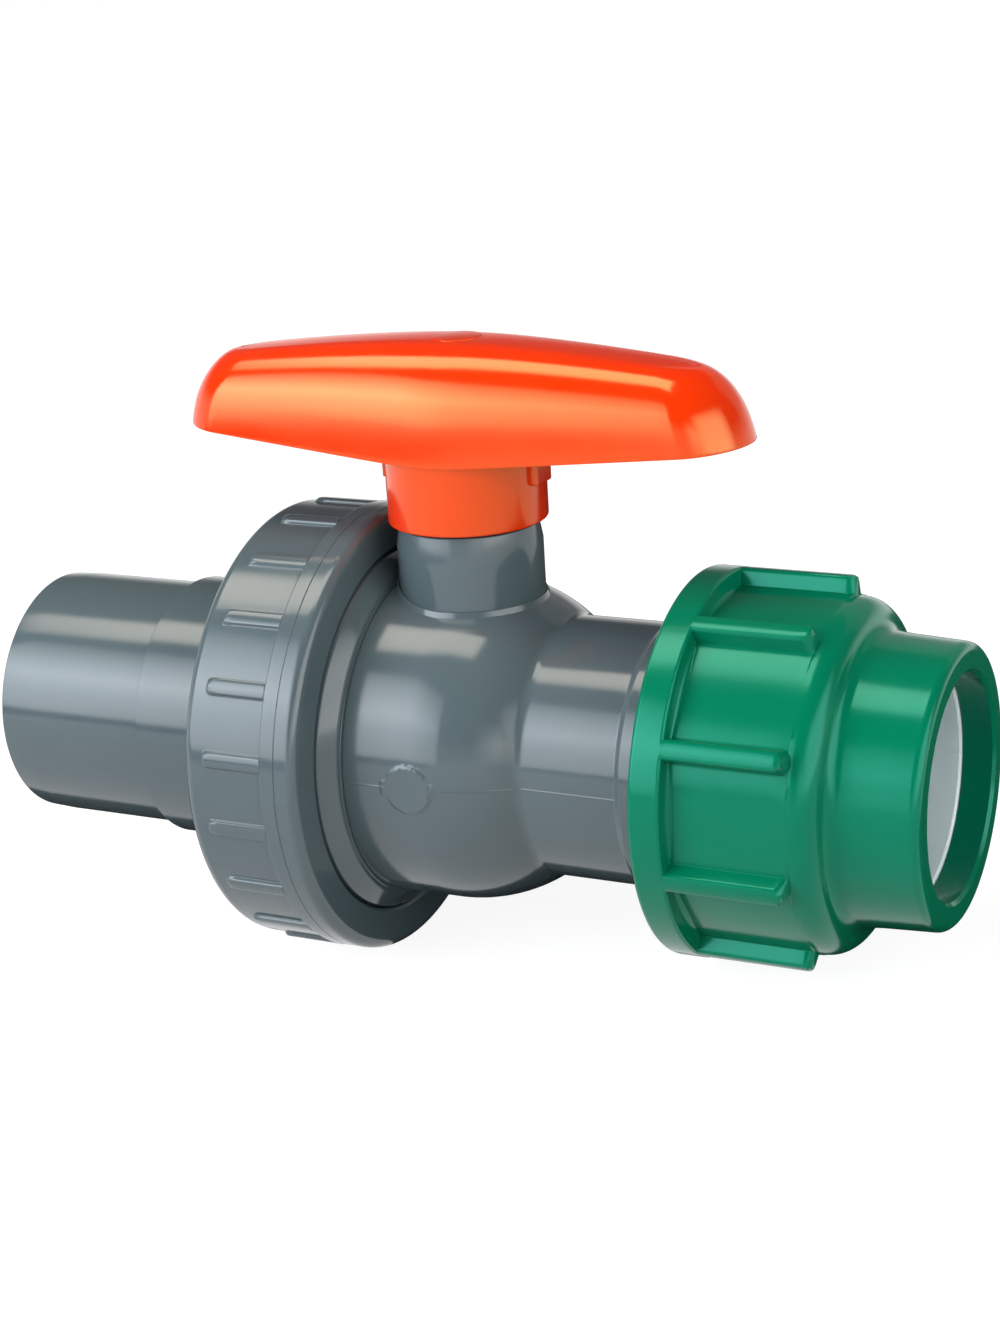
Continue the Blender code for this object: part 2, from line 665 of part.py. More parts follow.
# Levels of the bar as (share of its height, inset): drafted side, then a rounded shoulder.
def bar_levels():
    levels = [(0, 0), (BAR_SIDE_SHARE, HANDLE_SIDE_DRAFT)]
    for i in range(1, BAR_ROUND_STEPS + 1):
        turn = math.pi / 2 * i / BAR_ROUND_STEPS
        rise = BAR_SIDE_SHARE + (1 - BAR_SIDE_SHARE) * math.sin(turn)
        levels.append((rise, HANDLE_SIDE_DRAFT + HANDLE_TOP_ROUND * (1 - math.cos(turn))))
    return levels


# A bar lofted through its levels; the first and last rings close onto the middle line.
def bar(wall, foot):
    round_start = 1 - 2 * HANDLE_END_ROUND / HANDLE_LENGTH
    shares = [round_start * i / BAR_SIDE_STEPS for i in range(BAR_SIDE_STEPS)]
    for i in range(BAR_END_STEPS + 1):
        shares.append(round_start + (1 - round_start) * math.sin(math.pi / 2 * i / BAR_END_STEPS))
    stations = [-share for share in reversed(shares[1:])] + shares
    levels = bar_levels()
    levels = [(*levels[0], 0), *[(*level, 1) for level in levels], (*levels[-1], 0)]
    shape = bmesh.new()
    rings = []
    for number, (rise, inset, spread) in enumerate(levels):
        ring = []
        for side in (1, -1):
            for station in stations[::side]:
                share = abs(station)
                low = rim_z + HANDLE_RIM_RISE * share - (foot if number < 2 else 0)
                high = handle_top - HANDLE_TOP_DROP * share ** HANDLE_TOP_POWER - wall
                along = station * (HANDLE_LENGTH / 2 - inset - wall)
                across = side * spread * bar_half_width(share) * (1 - 2 * (inset + wall) / HANDLE_WIDTH)
                ring.append(shape.verts.new((along, across, low + (high - low) * rise)))
        rings.append(ring)
    for lower, upper in zip(rings, rings[1:]):
        for i in range(len(lower)):
            j = (i + 1) % len(lower)
            shape.faces.new((lower[i], lower[j], upper[j], upper[i]))
    bmesh.ops.remove_doubles(shape, verts=shape.verts, dist=MERGE)
    bmesh.ops.dissolve_degenerate(shape, dist=MERGE, edges=shape.edges)
    return shape


def build_handle():
    handle = solid("handle", bar(0, 0), orange_abs)
    hollow = solid("handle_hollow", bar(HANDLE_WALL, HUB_HEIGHT / 2))
    middle = DRIVE_SQUARE / 2 + HUB_WEB
    cut(hollow, box("handle_middle", (-middle, -HANDLE_WIDTH, 0), (middle, HANDLE_WIDTH, handle_top)))
    cut(handle, hollow)
    hub_top = rim_z + HANDLE_WALL
    hub = [(hub_top, 0), (hub_top, hub_r), (hub_bottom, hub_r), (hub_bottom, 0)]
    join(handle, turned("handle_hub", hub, closed=False))
    for side in (1, -1):
        turn = Matrix.Rotation(0 if side > 0 else math.pi, 4, "Z")
        shape = bmesh.new()
        add_box(shape, (hub_r - OVERLAP, -LUG_WIDTH / 2, rim_z - LUG_DROP),
                (hub_r + LUG_STEP, LUG_WIDTH / 2, hub_top), turn)
        join(handle, solid(f"handle_lug_{side}", shape))
    cap_r = CAP_DIAMETER / 2
    cap_top = handle_top + CAP_HEIGHT
    cap_foot = handle_top - HANDLE_WALL
    cap = [(cap_top, 0), (cap_top, cap_r), (cap_foot, cap_r), (cap_foot, 0)]
    join(handle, turned("handle_cap", cap, closed=False))
    half = DRIVE_SQUARE / 2 + SEAT_GAP
    cut(handle, box("handle_square", (-half, -half, hub_bottom - OVERLAP),
                    (half, half, drive_top + RUN_GAP)))


def build_compression_end():
    flange_right = nut_left + COMPRESSION_FLANGE_WIDTH
    shoulder_end = bush_right + NUT_SHOULDER
    shoulder_round = min(SHOULDER_ROUND, compression_nut_out - nose_r)
    lip_r = socket_r + LIP_GAP
    nut = [
        (nut_right, nose_r - NOSE_DRAFT - NOSE_EDGE),
        (nut_right - NOSE_EDGE * ROUND_SHARE, nose_r - NOSE_DRAFT - NOSE_EDGE * ROUND_SHARE),
        (nut_right - NOSE_EDGE, nose_r - NOSE_DRAFT),
        (shoulder_end + shoulder_round, nose_r),
        *arc(shoulder_end, compression_nut_out - shoulder_round, shoulder_round,
             SHOULDER_START, 90, SHOULDER_STEPS),
        (flange_right, compression_nut_out),
        (flange_right, compression_flange_r),
        (nut_left + FLANGE_EDGE, compression_flange_r),
        (nut_left, compression_flange_r - FLANGE_EDGE),
        (nut_left, compression_nut_in),
        (bush_right, compression_nut_in),
        (clamp_left, clamp_base + RUN_GAP),
        (lip_x, clamp_tip + RUN_GAP),
        (lip_x, lip_r),
        (nut_right, lip_r),
    ]
    compression_nut = along_pipe(turned("compression_nut", nut, green_pp))
    join(compression_nut, ribs("compression_nut_ribs", flange_right - OVERLAP, shoulder_end,
                               compression_nut_out - OVERLAP, compression_flange_r,
                               COMPRESSION_RIB_WIDTH, COMPRESSION_RIB_COUNT, COMPRESSION_RIB_PHASE))
    start = compression_thread_x + compression_ridge_base + COMPRESSION_THREAD_PITCH / 2
    join(compression_nut, thread_ridge("compression_nut_thread", compression_nut_in + OVERLAP,
                                       compression_nut_crest, compression_ridge_base,
                                       compression_ridge_tip, start, COMPRESSION_THREAD_PITCH,
                                       COMPRESSION_THREAD_TURNS - NUT_THREAD_SHORTER))

    clamp = [(clamp_right, clamp_tip), (clamp_left, clamp_base), (clamp_left, grip_in)]
    for i in range(CLAMP_TOOTH_COUNT):
        tooth_x = clamp_left + CLAMP_TOOTH_PITCH * (i + 1)
        clamp += [
            (tooth_x, grip_in),
            (tooth_x, grip_in + CLAMP_TOOTH_HEIGHT),
            (tooth_x + CLAMP_TOOTH_PITCH * TOOTH_SHARE, grip_in),
        ]
    clamp.append((clamp_right, grip_in))
    clamp_ring = along_pipe(turned("clamp_ring", clamp, white_pom))
    cut(clamp_ring, box("clamp_slit", (clamp_left - OVERLAP, -clamp_base - OVERLAP, -CLAMP_SLIT / 2),
                        (clamp_right + OVERLAP, 0, CLAMP_SLIT / 2)))

    bush = [
        (bush_right, bush_flange_r),
        (bush_step, bush_flange_r),
        (bush_step, seal_pocket_r - SEAT_GAP),
        (bush_left, seal_pocket_r - SEAT_GAP),
        (bush_left, grip_in),
        (bush_right, grip_in),
    ]
    along_pipe(turned("pressure_bush", bush, black_pom))
    seal_mid = socket_r + SEAT_GAP + PIPE_SEAL_SECTION / 2
    along_pipe(seal_ring("pipe_o_ring", pipe_seal_x, seal_mid, PIPE_SEAL_SECTION))


build_body()
build_pipe_end()
build_seats()
build_carrier()
build_union()
build_ball()
build_stem()
build_handle()
build_compression_end()
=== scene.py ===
import json
import math

import bmesh
import bpy
from mathutils import Matrix, Vector

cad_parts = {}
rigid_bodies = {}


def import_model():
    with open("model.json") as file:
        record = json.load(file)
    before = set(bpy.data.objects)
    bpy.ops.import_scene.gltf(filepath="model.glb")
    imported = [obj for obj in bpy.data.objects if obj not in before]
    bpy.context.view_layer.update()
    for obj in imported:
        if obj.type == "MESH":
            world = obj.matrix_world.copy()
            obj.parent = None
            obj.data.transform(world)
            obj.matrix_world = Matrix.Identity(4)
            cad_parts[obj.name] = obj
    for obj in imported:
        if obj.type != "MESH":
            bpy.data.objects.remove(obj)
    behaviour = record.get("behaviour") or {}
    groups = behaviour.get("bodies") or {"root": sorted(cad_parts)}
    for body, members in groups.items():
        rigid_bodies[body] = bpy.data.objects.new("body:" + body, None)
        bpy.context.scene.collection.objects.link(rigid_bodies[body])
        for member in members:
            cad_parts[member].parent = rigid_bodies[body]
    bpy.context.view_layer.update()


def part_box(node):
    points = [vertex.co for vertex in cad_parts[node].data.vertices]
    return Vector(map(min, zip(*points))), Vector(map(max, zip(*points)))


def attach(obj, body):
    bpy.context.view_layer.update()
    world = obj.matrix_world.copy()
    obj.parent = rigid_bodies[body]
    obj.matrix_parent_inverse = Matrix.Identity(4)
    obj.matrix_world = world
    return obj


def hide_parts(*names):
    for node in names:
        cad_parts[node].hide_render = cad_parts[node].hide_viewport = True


for old in list(bpy.data.objects):
    bpy.data.objects.remove(old, do_unlink=True)

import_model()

# every shape below is drawn in millimetres from the ball's centre: x along the pipe, z up the stem
nutLow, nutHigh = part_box("union_nut")
barLow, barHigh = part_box("handle")
ballCentre = Vector(((barLow.x + barHigh.x) / 2, 0, (nutLow.z + nutHigh.z) / 2))
toWorld = Matrix.Translation(ballCentre) @ Matrix.Scale(0.001, 4)
stemUp = Matrix.Rotation(-math.pi / 2, 4, "Y")    # turns a piece drawn along x to stand along z

# steps round a turn, degrees of an arc's step and of a sharp edge, millimetres that count as one point
smooth = {"ring": 160, "stem": 96, "seal": 120, "sealSection": 20, "thread": 96, "runOut": 10, "bevel": 3,
          "arcStep": 6, "sharp": 32, "merge": 0.004, "degenerate": 0.002, "match": 0.02}


# outlines and turning

def drawOutline(shape, steps, closed=True):
    first = tip = shape.verts.new((steps[0][0], 0, steps[0][1]))
    for step in steps[1:]:
        if len(step) == 2:                        # straight on to (along, radius)
            grown = shape.verts.new((step[0], 0, step[1]))
            shape.edges.new((tip, grown))
            tip = grown
        else:                                     # an arc about (along, radius), in degrees
            along, radius, sweep = step[:3]
            fine = step[3] if len(step) > 3 else smooth["arcStep"]
            swept = bmesh.ops.spin(shape, geom=[tip], cent=(along, 0, radius), axis=(0, 1, 0),
                                   angle=math.radians(sweep), steps=max(2, round(abs(sweep) / fine)))
            tip = next(part for part in swept["geom_last"] if isinstance(part, bmesh.types.BMVert))
    if closed:
        shape.edges.new((tip, first))


def spinRound(shape, steps):
    bmesh.ops.spin(shape, geom=shape.verts[:] + shape.edges[:], cent=(0, 0, 0), axis=(1, 0, 0),
                   angle=math.tau, steps=steps, use_merge=True)
    tidyMesh(shape)


def tidyMesh(shape):
    bmesh.ops.remove_doubles(shape, verts=shape.verts, dist=smooth["merge"])
    bmesh.ops.dissolve_degenerate(shape, edges=shape.edges, dist=smooth["degenerate"])
    bmesh.ops.recalc_face_normals(shape, faces=shape.faces)


def turned(steps, count=None, closed=True, rounds=()):
    shape = bmesh.new()
    drawOutline(shape, steps, closed)
    spinRound(shape, count or smooth["ring"])
    for along, radius, size in rounds:            # corners that were moulded with a small radius
        ring = [edge for edge in shape.edges if all(
            abs(v.co.x - along) < smooth["match"]
            and abs(math.hypot(v.co.y, v.co.z) - radius) < smooth["match"] for v in edge.verts)]
        bmesh.ops.bevel(shape, geom=ring, offset=size, offset_type="OFFSET", segments=smooth["bevel"],
                        profile=0.5, affect="EDGES", material=-1, clamp_overlap=True)
    return shape


def sealRing(along, middle, section):
    shape = bmesh.new()
    lay = Matrix.Translation((along, 0, middle)) @ Matrix.Rotation(math.pi / 2, 4, "X")
    bmesh.ops.create_circle(shape, segments=smooth["sealSection"], radius=section / 2, matrix=lay)
    spinRound(shape, smooth["seal"])
    return shape


def block(low, high, edge=0.0):
    shape = bmesh.new()
    size = Vector(high) - Vector(low)
    lay = Matrix.Translation((Vector(low) + Vector(high)) / 2) @ Matrix.Diagonal((*size, 1))
    bmesh.ops.create_cube(shape, size=1, matrix=lay)
    if edge:
        bmesh.ops.bevel(shape, geom=shape.edges[:], offset=edge, offset_type="OFFSET",
                        segments=smooth["bevel"], profile=0.5, affect="EDGES", material=-1,
                        clamp_overlap=True)
    return shape


# a thread ridge: a trapezoid wound right-handed along x from the underside, its two ends run out
def threadRidge(thread):
    shape = bmesh.new()
    foot, crest = thread["foot"], thread["crest"]
    corners = [(foot, -thread["base"] / 2), (crest, -thread["tip"] / 2),
               (crest, thread["tip"] / 2), (foot, thread["base"] / 2)]
    section = shape.faces.new([shape.verts.new((thread["start"] + aside, 0, -out)) for out, aside in corners])
    steps = round(smooth["thread"] * thread["turns"])
    bmesh.ops.spin(shape, geom=[section, *section.edges, *section.verts], cent=(0, 0, 0), axis=(1, 0, 0),
                   dvec=(thread["pitch"] * thread["turns"] / steps, 0, 0),
                   angle=math.tau * thread["turns"], steps=steps)
    shape.verts.ensure_lookup_table()
    for number, vert in enumerate(shape.verts):   # vertices stand in groups of four, in winding order
        station = number // len(corners)
        share = min(1, min(station, steps - station) / smooth["runOut"])
        out = math.hypot(vert.co.y, vert.co.z)
        wanted = foot + (out - foot) * math.sin(share * math.pi / 2)
        vert.co.y *= wanted / out
        vert.co.z *= wanted / out
    tidyMesh(shape)
    return shape


def addShape(shape, other):
    mesh = bpy.data.meshes.new("joined")
    other.to_mesh(mesh)
    other.free()
    shape.from_mesh(mesh)
    bpy.data.meshes.remove(mesh)


# cuts one shape out of another, and applies the cut
def carve(shape, cutter):
    made = []
    for name, part in (("carved", shape), ("carver", cutter)):
        mesh = bpy.data.meshes.new(name)
        part.to_mesh(mesh)
        part.free()
        made.append(bpy.data.objects.new(name, mesh))
        bpy.context.scene.collection.objects.link(made[-1])
    change = made[0].modifiers.new("carve", "BOOLEAN")
    change.operation = "DIFFERENCE"
    change.solver = "EXACT"
    change.object = made[1]
    bpy.context.view_layer.update()
    mesh = bpy.data.meshes.new_from_object(made[0].evaluated_get(bpy.context.evaluated_depsgraph_get()))
    result = bmesh.new()
    result.from_mesh(mesh)
    for part in made:
        bpy.data.objects.remove(part, do_unlink=True)
    return result


def makePiece(shape, name, body, finish, *replaced):
    bmesh.ops.transform(shape, matrix=toWorld, verts=shape.verts)
    mesh = bpy.data.meshes.new(name)
    shape.to_mesh(mesh)
    shape.free()
    mesh.materials.append(finish["look"])
    mesh.shade_smooth()
    mesh.set_sharp_from_angle(angle=math.radians(smooth["sharp"]))
    piece = bpy.data.objects.new(name, mesh)
    bpy.context.scene.collection.objects.link(piece)
    flats = piece.modifiers.new("flats", "WEIGHTED_NORMAL")
    flats.keep_sharp = True
    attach(piece, body)
    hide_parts(*replaced)


# finishes

def linear(code):
    parts = [int(code[i:i + 2], 16) / 255 for i in (1, 3, 5)]
    return [c / 12.92 if c <= 0.04045 else ((c + 0.055) / 1.055) ** 2.4 for c in parts] + [1]


def addNode(tree, kind, wires=(), values=(), **settings):
    made = tree.nodes.new("ShaderNode" + kind)
    for key, value in settings.items():
        setattr(made, key, value)
    for socket, value in values:
        made.inputs[socket].default_value = value
    for socket, source in wires:
        tree.links.new(source, made.inputs[socket])
    return made


def perMetre(millimetres):
    return 1000 / millimetres


# injection-moulded plastic: cloudy pigment flow, slow sink waves under a gloss that varies, fine tool grain
def mouldedPlastic(finish):
    look = bpy.data.materials.new(finish["name"])
    look.use_nodes = True
    tree = look.node_tree
    shader = tree.nodes["Principled BSDF"]
    where = addNode(tree, "TexCoord").outputs["Object"]
    flow = addNode(tree, "TexNoise", [("Vector", where)],
                   [("Scale", perMetre(finish["flow"])), ("Detail", 3), ("Distortion", 0.6)])
    cloud = addNode(tree, "MapRange", [("Value", flow.outputs["Fac"])], [("From Min", 0.3), ("From Max", 0.7)])
    colour = addNode(tree, "Mix", [("Factor", cloud.outputs["Result"])],
                     [(6, linear(finish["colour"])), (7, linear(finish["cloud"]))], data_type="RGBA")
    tree.links.new(colour.outputs[2], shader.inputs["Base Color"])
    gloss = addNode(tree, "TexNoise", [("Vector", where)],
                    [("Scale", perMetre(finish["glossPatch"])), ("Detail", 5), ("Roughness", 0.6)])
    sheen = addNode(tree, "MapRange", [("Value", gloss.outputs["Fac"])],
                    [("From Min", 0.3), ("From Max", 0.7), ("To Min", finish["roughness"] - finish["vary"]),
                     ("To Max", finish["roughness"] + finish["vary"])])
    tree.links.new(sheen.outputs["Result"], shader.inputs["Roughness"])
    sink = addNode(tree, "TexNoise", [("Vector", where)], [("Scale", perMetre(finish["sink"])), ("Detail", 1)])
    grain = addNode(tree, "TexNoise", [("Vector", where)], [("Scale", perMetre(finish["grain"])), ("Detail", 2)])
    waves = addNode(tree, "Bump", [("Height", sink.outputs["Fac"])],
                    [("Strength", 1), ("Distance", finish["sinkDepth"] / 1000)])
    pits = addNode(tree, "Bump", [("Height", grain.outputs["Fac"]), ("Normal", waves.outputs["Normal"])],
                   [("Strength", 1), ("Distance", finish["grainDepth"] / 1000)])
    tree.links.new(pits.outputs["Normal"], shader.inputs["Normal"])
    shader.inputs["IOR"].default_value = finish["ior"]
    shader.inputs["Specular Tint"].default_value = linear(finish.get("shine", "#FFFFFF"))
    if "glow" in finish:                          # a little light passes through thin pigmented walls
        shader.inputs["Subsurface Weight"].default_value = finish["glow"]
        shader.inputs["Subsurface Radius"].default_value = finish["glowRadius"]
        shader.inputs["Subsurface Scale"].default_value = 0.001
    finish["look"] = look
    return finish


# PVC-U: blue-grey, dense and opaque, moulded against polished steel, so reflections have clear edges
greyPvcu = mouldedPlastic({
    "name": "PVC-U grey moulded", "slot": "grey_pvc", "colour": "#566569", "cloud": "#516065", "ior": 1.53,
    "roughness": 0.14, "vary": 0.02, "flow": 40, "glossPatch": 18, "sink": 22, "sinkDepth": 0.02,
    "grain": 0.9, "grainDepth": 0.0005})
# ABS: orange-red that glows a little in thin walls, with a strong, warm gloss
orangeAbs = mouldedPlastic({
    "name": "ABS orange moulded", "slot": "orange_abs", "colour": "#F03400", "cloud": "#EC3000", "ior": 1.73,
    "shine": "#FFF8A0", "roughness": 0.15, "vary": 0.02, "flow": 30, "glossPatch": 18, "sink": 24,
    "sinkDepth": 0.02, "grain": 0.9, "grainDepth": 0.0005, "glow": 0.15, "glowRadius": (2.5, 0.6, 0.2)})
# PP: deep green, softer and a little waxier, so reflections spread more
greenPp = mouldedPlastic({
    "name": "PP green moulded", "slot": "green_pp", "colour": "#007755", "cloud": "#007251", "ior": 1.5,
    "shine": "#84FFEA", "roughness": 0.17, "vary": 0.02, "flow": 25, "glossPatch": 16, "sink": 20,
    "sinkDepth": 0.02, "grain": 0.9, "grainDepth": 0.0007})
# POM: cold milky white, satin
whitePom = mouldedPlastic({
    "name": "POM white moulded", "slot": "white_pom", "colour": "#E8F7FC", "cloud": "#E4F3F8", "ior": 1.48,
    "roughness": 0.3, "vary": 0.03, "flow": 20, "glossPatch": 12, "sink": 16, "sinkDepth": 0.015,
    "grain": 0.9, "grainDepth": 0.001, "glow": 0.3, "glowRadius": (4, 4, 4)})
blackPom = mouldedPlastic({
    "name": "POM black moulded", "slot": "black_pom", "colour": "#202224", "cloud": "#1B1D1F", "ior": 1.48,
    "roughness": 0.38, "vary": 0.04, "flow": 20, "glossPatch": 8, "sink": 12, "sinkDepth": 0.02,
    "grain": 0.9, "grainDepth": 0.002})
# PTFE: chalky white, turned on a lathe, waxy and nearly without gloss
whitePtfe = mouldedPlastic({
    "name": "PTFE white turned", "slot": "white_ptfe", "colour": "#E9E8E2", "cloud": "#E2E1DA", "ior": 1.35,
    "roughness": 0.5, "vary": 0.05, "flow": 15, "glossPatch": 5, "sink": 10, "sinkDepth": 0.01,
    "grain": 0.8, "grainDepth": 0.004})
# EPDM: black rubber with a matt bloom
blackEpdm = mouldedPlastic({
    "name": "EPDM black moulded", "slot": "black_epdm", "colour": "#191A1B", "cloud": "#222425", "ior": 1.5,
    "roughness": 0.62, "vary": 0.08, "flow": 8, "glossPatch": 4, "sink": 8, "sinkDepth": 0.01,
    "grain": 0.8, "grainDepth": 0.006})
print("finishes ready")


# ribs: a nut's wall is lifted into ribs with filleted feet and rounded edges

def ribRise(inside, rib):
    fillet, draft, edge, height = rib["fillet"], rib["draft"], rib["edge"], rib["height"]
    if inside <= -fillet:
        return 0
    if inside <= 0:
        return fillet - math.sqrt(max(0, fillet ** 2 - (inside + fillet) ** 2))
    if inside <= draft:
        return fillet + (height - edge - fillet) * inside / draft
    reach = min(inside - draft, edge)
    return height - edge + math.sqrt(max(0, edge ** 2 - (edge - reach) ** 2))


# distance in from a rib's side or end, with its end's corners rounded in plan
def insideRib(sideways, fromEnd, rib):
    across = rib["width"] / 2 - abs(sideways)
    corner = rib["corner"]
    if across < corner and fromEnd < corner:
        return corner - math.hypot(corner - across, corner - fromEnd)
    return min(across, fromEnd)


def ribStops(rib):
    fillet, draft, edge = rib["fillet"], rib["draft"], rib["edge"]
    return [-fillet, -0.6 * fillet, -0.3 * fillet, -0.1 * fillet, 0, draft,
            draft + 0.1 * edge, draft + 0.35 * edge, draft + edge]


# angles round a ribbed nut, close together where a rib's side rises
def ribAngles(rib):
    pitch = math.tau * rib["radius"] / rib["count"]
    half = sorted(rib["width"] / 2 - stop for stop in ribStops(rib))
    gap = (pitch / 2 - half[-1]) / rib["openSteps"]
    half += [half[-1] + gap * step for step in range(1, rib["openSteps"] + 1)]
    sides = [-side for side in reversed(half[:-1])] + [0] + half
    angles = []
    for number in range(rib["count"]):
        middle = math.radians(rib["phase"]) + math.tau * number / rib["count"]
        angles += [middle + side / rib["radius"] for side in sides]
    return angles


def spinTo(shape, angles):
    count = len(angles)
    spinRound(shape, count)
    for vert in shape.verts:
        radius = math.hypot(vert.co.y, vert.co.z)
        number = round(math.atan2(-vert.co.y, vert.co.z) / (math.tau / count)) % count
        vert.co.y = -radius * math.sin(angles[number])
        vert.co.z = radius * math.cos(angles[number])


def raiseRibs(shape, rib, low, high):
    pitch = math.tau / rib["count"]
    for vert in shape.verts:
        radius = math.hypot(vert.co.y, vert.co.z)
        if not low < vert.co.x < high or radius < rib["radius"] - 1:
            continue
        angle = math.atan2(-vert.co.y, vert.co.z) - math.radians(rib["phase"])
        sideways = (angle - pitch * round(angle / pitch)) * rib["radius"]
        rise = ribRise(insideRib(sideways, rib["reach"] * (rib["end"] - vert.co.x), rib), rib)
        bay = 1 - 2 * abs(sideways) / (pitch * rib["radius"])
        flat = rib["flat"] * bay ** 2
        flat *= min(1, max(0, rib["end"] + rib["fade"] / 2 - vert.co.x) / rib["fade"])
        wanted = max(radius, min(radius, rib["radius"]) + max(rise, flat))
        vert.co.y *= wanted / radius
        vert.co.z *= wanted / radius
    tidyMesh(shape)


# union nut

unionRib = {"count": 20, "phase": 10.0, "radius": 55.3, "height": 1.1, "width": 4.2, "fillet": 0.2,
            "draft": 0.2, "edge": 0.8, "corner": 1.7, "end": -46.6, "reach": -1, "flat": 0, "fade": 6,
            "openSteps": 6}
unionThread = {"foot": 46.9, "crest": 44.1, "base": 3.18, "tip": 1.62, "start": -35.08, "pitch": 6,
               "turns": 1.75}
# a moulding gate left on the band: two low pads, one over the other
gatePads = {"middle": -24.9, "halfLength": 3.3, "edge": 0.5, "rise": 0.22,
            "spans": ((88.8, 92.6, 1.0), (92.9, 98.6, 0.55))}


def unionNut():
    wall = [-30.89 - 0.9 * step for step in range(1, 16)]
    ends = sorted((unionRib["end"] + stop for stop in ribStops(unionRib)), reverse=True)
    wall = [x for x in wall if x > ends[0] + 0.5] + ends
    outline = [(-20.89, 46.9), (-20.89, 53.7), (-23.49, 53.7, -90, 9)]
    outline += [(-23.94 - 0.45 * step, 56.3) for step in range(5)]
    outline += [(-26.3, 56.3), (-26.45, 56.14), (-26.6, 56.3), (-28.4, 56.3), (-29.99, 56.3)]
    outline += [(-29.99, 55.9, -90, 30), (-30.39, 55.7), (-30.79, 55.7, 90, 30)]
    outline += [(x, 55.3) for x in wall]
    outline += [(-49.3, 55.3), (-49.3, 52.12, -90), (-52.48, 34.4), (-51.98, 33.9), (-47.48, 33.9),
                (-47.48, 46.2), (-21.59, 46.2)]
    shape = bmesh.new()
    drawOutline(shape, outline)
    spinTo(shape, ribAngles(unionRib))
    raiseRibs(shape, unionRib, -50, -30.2)
    for vert in shape.verts:                      # the gate pads
        radius = math.hypot(vert.co.y, vert.co.z)
        angle = math.degrees(math.atan2(-vert.co.y, vert.co.z))
        for start, end, share in gatePads["spans"]:
            inX = gatePads["halfLength"] - abs(vert.co.x - gatePads["middle"])
            inTurn = min(angle - start, end - angle)
            if radius > 56 and inX > 0 and inTurn > 0:
                wanted = radius + gatePads["rise"] * share * min(1, inX / gatePads["edge"])
                vert.co.y *= wanted / radius
                vert.co.z *= wanted / radius
    addShape(shape, threadRidge(unionThread))
    makePiece(shape, "unionNut", "union_nut", greyPvcu, "union_nut")


unionNut()
print("union nut ready")


# spigot tail and its face seal

spigot = {"end": -122.98, "outside": 31.5, "leadIn": 7.0, "leadInDrop": 0.3}


def spigotTail():
    end, outside = spigot["end"], spigot["outside"]
    outline = [(-40.58, 41.1), (-40.58, 43.0), (-41.08, 43.5), (-46.58, 43.5), (-47.08, 43.0), (-47.08, 33.3),
               (-80.2, 33.3), (-80.38, 33.25), (-80.48, 33.1), (-80.48, outside),
               (end + spigot["leadIn"], outside), (end + 0.4, outside - spigot["leadInDrop"]),
               (end + 0.4, outside - spigot["leadInDrop"] - 0.4, -90, 30),
               (end, 25.9), (end + 0.8, 25.1), (-91.98, 25.1), (-91.98, 20.0), (-41.08, 20.0), (-40.58, 20.5),
               (-40.58, 37.0), (-44.38, 37.0), (-44.38, 41.1)]
    makePiece(turned(outline), "spigotTail", "union_tail", greyPvcu, "union_tail", "spigot_tube")
    makePiece(sealRing(-42.33, 39.05, 3.5), "unionFaceSeal", "union_tail", blackEpdm, "union_face_o_ring")


spigotTail()
print("spigot tail ready")


# valve body

globe = {"radius": 40.4, "neck": 31.8, "fillet": 5.0, "partingRise": 0.1, "partingHalf": 0.16}
gateDisc = {"x": 0.3, "z": -0.3, "radius": 6.0, "face": 40.5, "edge": 0.3, "tick": 1.7}
bodyThread = {"foot": 42.8, "crest": 45.6, "base": 3.18, "tip": 1.62, "start": -38.08, "pitch": 6,
              "turns": 2.25}
pipeThread = {"foot": 35.7, "crest": 38.4, "base": 3.18, "tip": 1.62, "start": 63.16, "pitch": 6,
              "turns": 2.75}
carrierNutThread = {"foot": 35.3, "crest": 33.0, "base": 2.12, "tip": 1.08, "start": -38.92, "pitch": 4,
                    "turns": 0.75}
boss = {"radius": 17.8, "hole": 10.3, "top": 55.0, "edge": 0.4, "fillet": 0.5}


def globeTop(x, y):
    return math.sqrt(globe["radius"] ** 2 - y * y - max(x, 0) ** 2)


def bodyAngles():
    coarse = [3.0 * step for step in range(120)]
    fine = [90 + 0.65 * step for step in range(-16, 17)]
    angles = [a for a in coarse if not 79 < a < 101 and abs(a - 270) > 1] + [a for a in fine if abs(a - 90) > 0.6]
    for side in (90, 270):
        line = math.degrees(globe["partingHalf"] / globe["radius"])
        angles += [side - 2 * line, side - line, side, side + line, side + 2 * line]
    return [math.radians(a) for a in sorted(angles)]


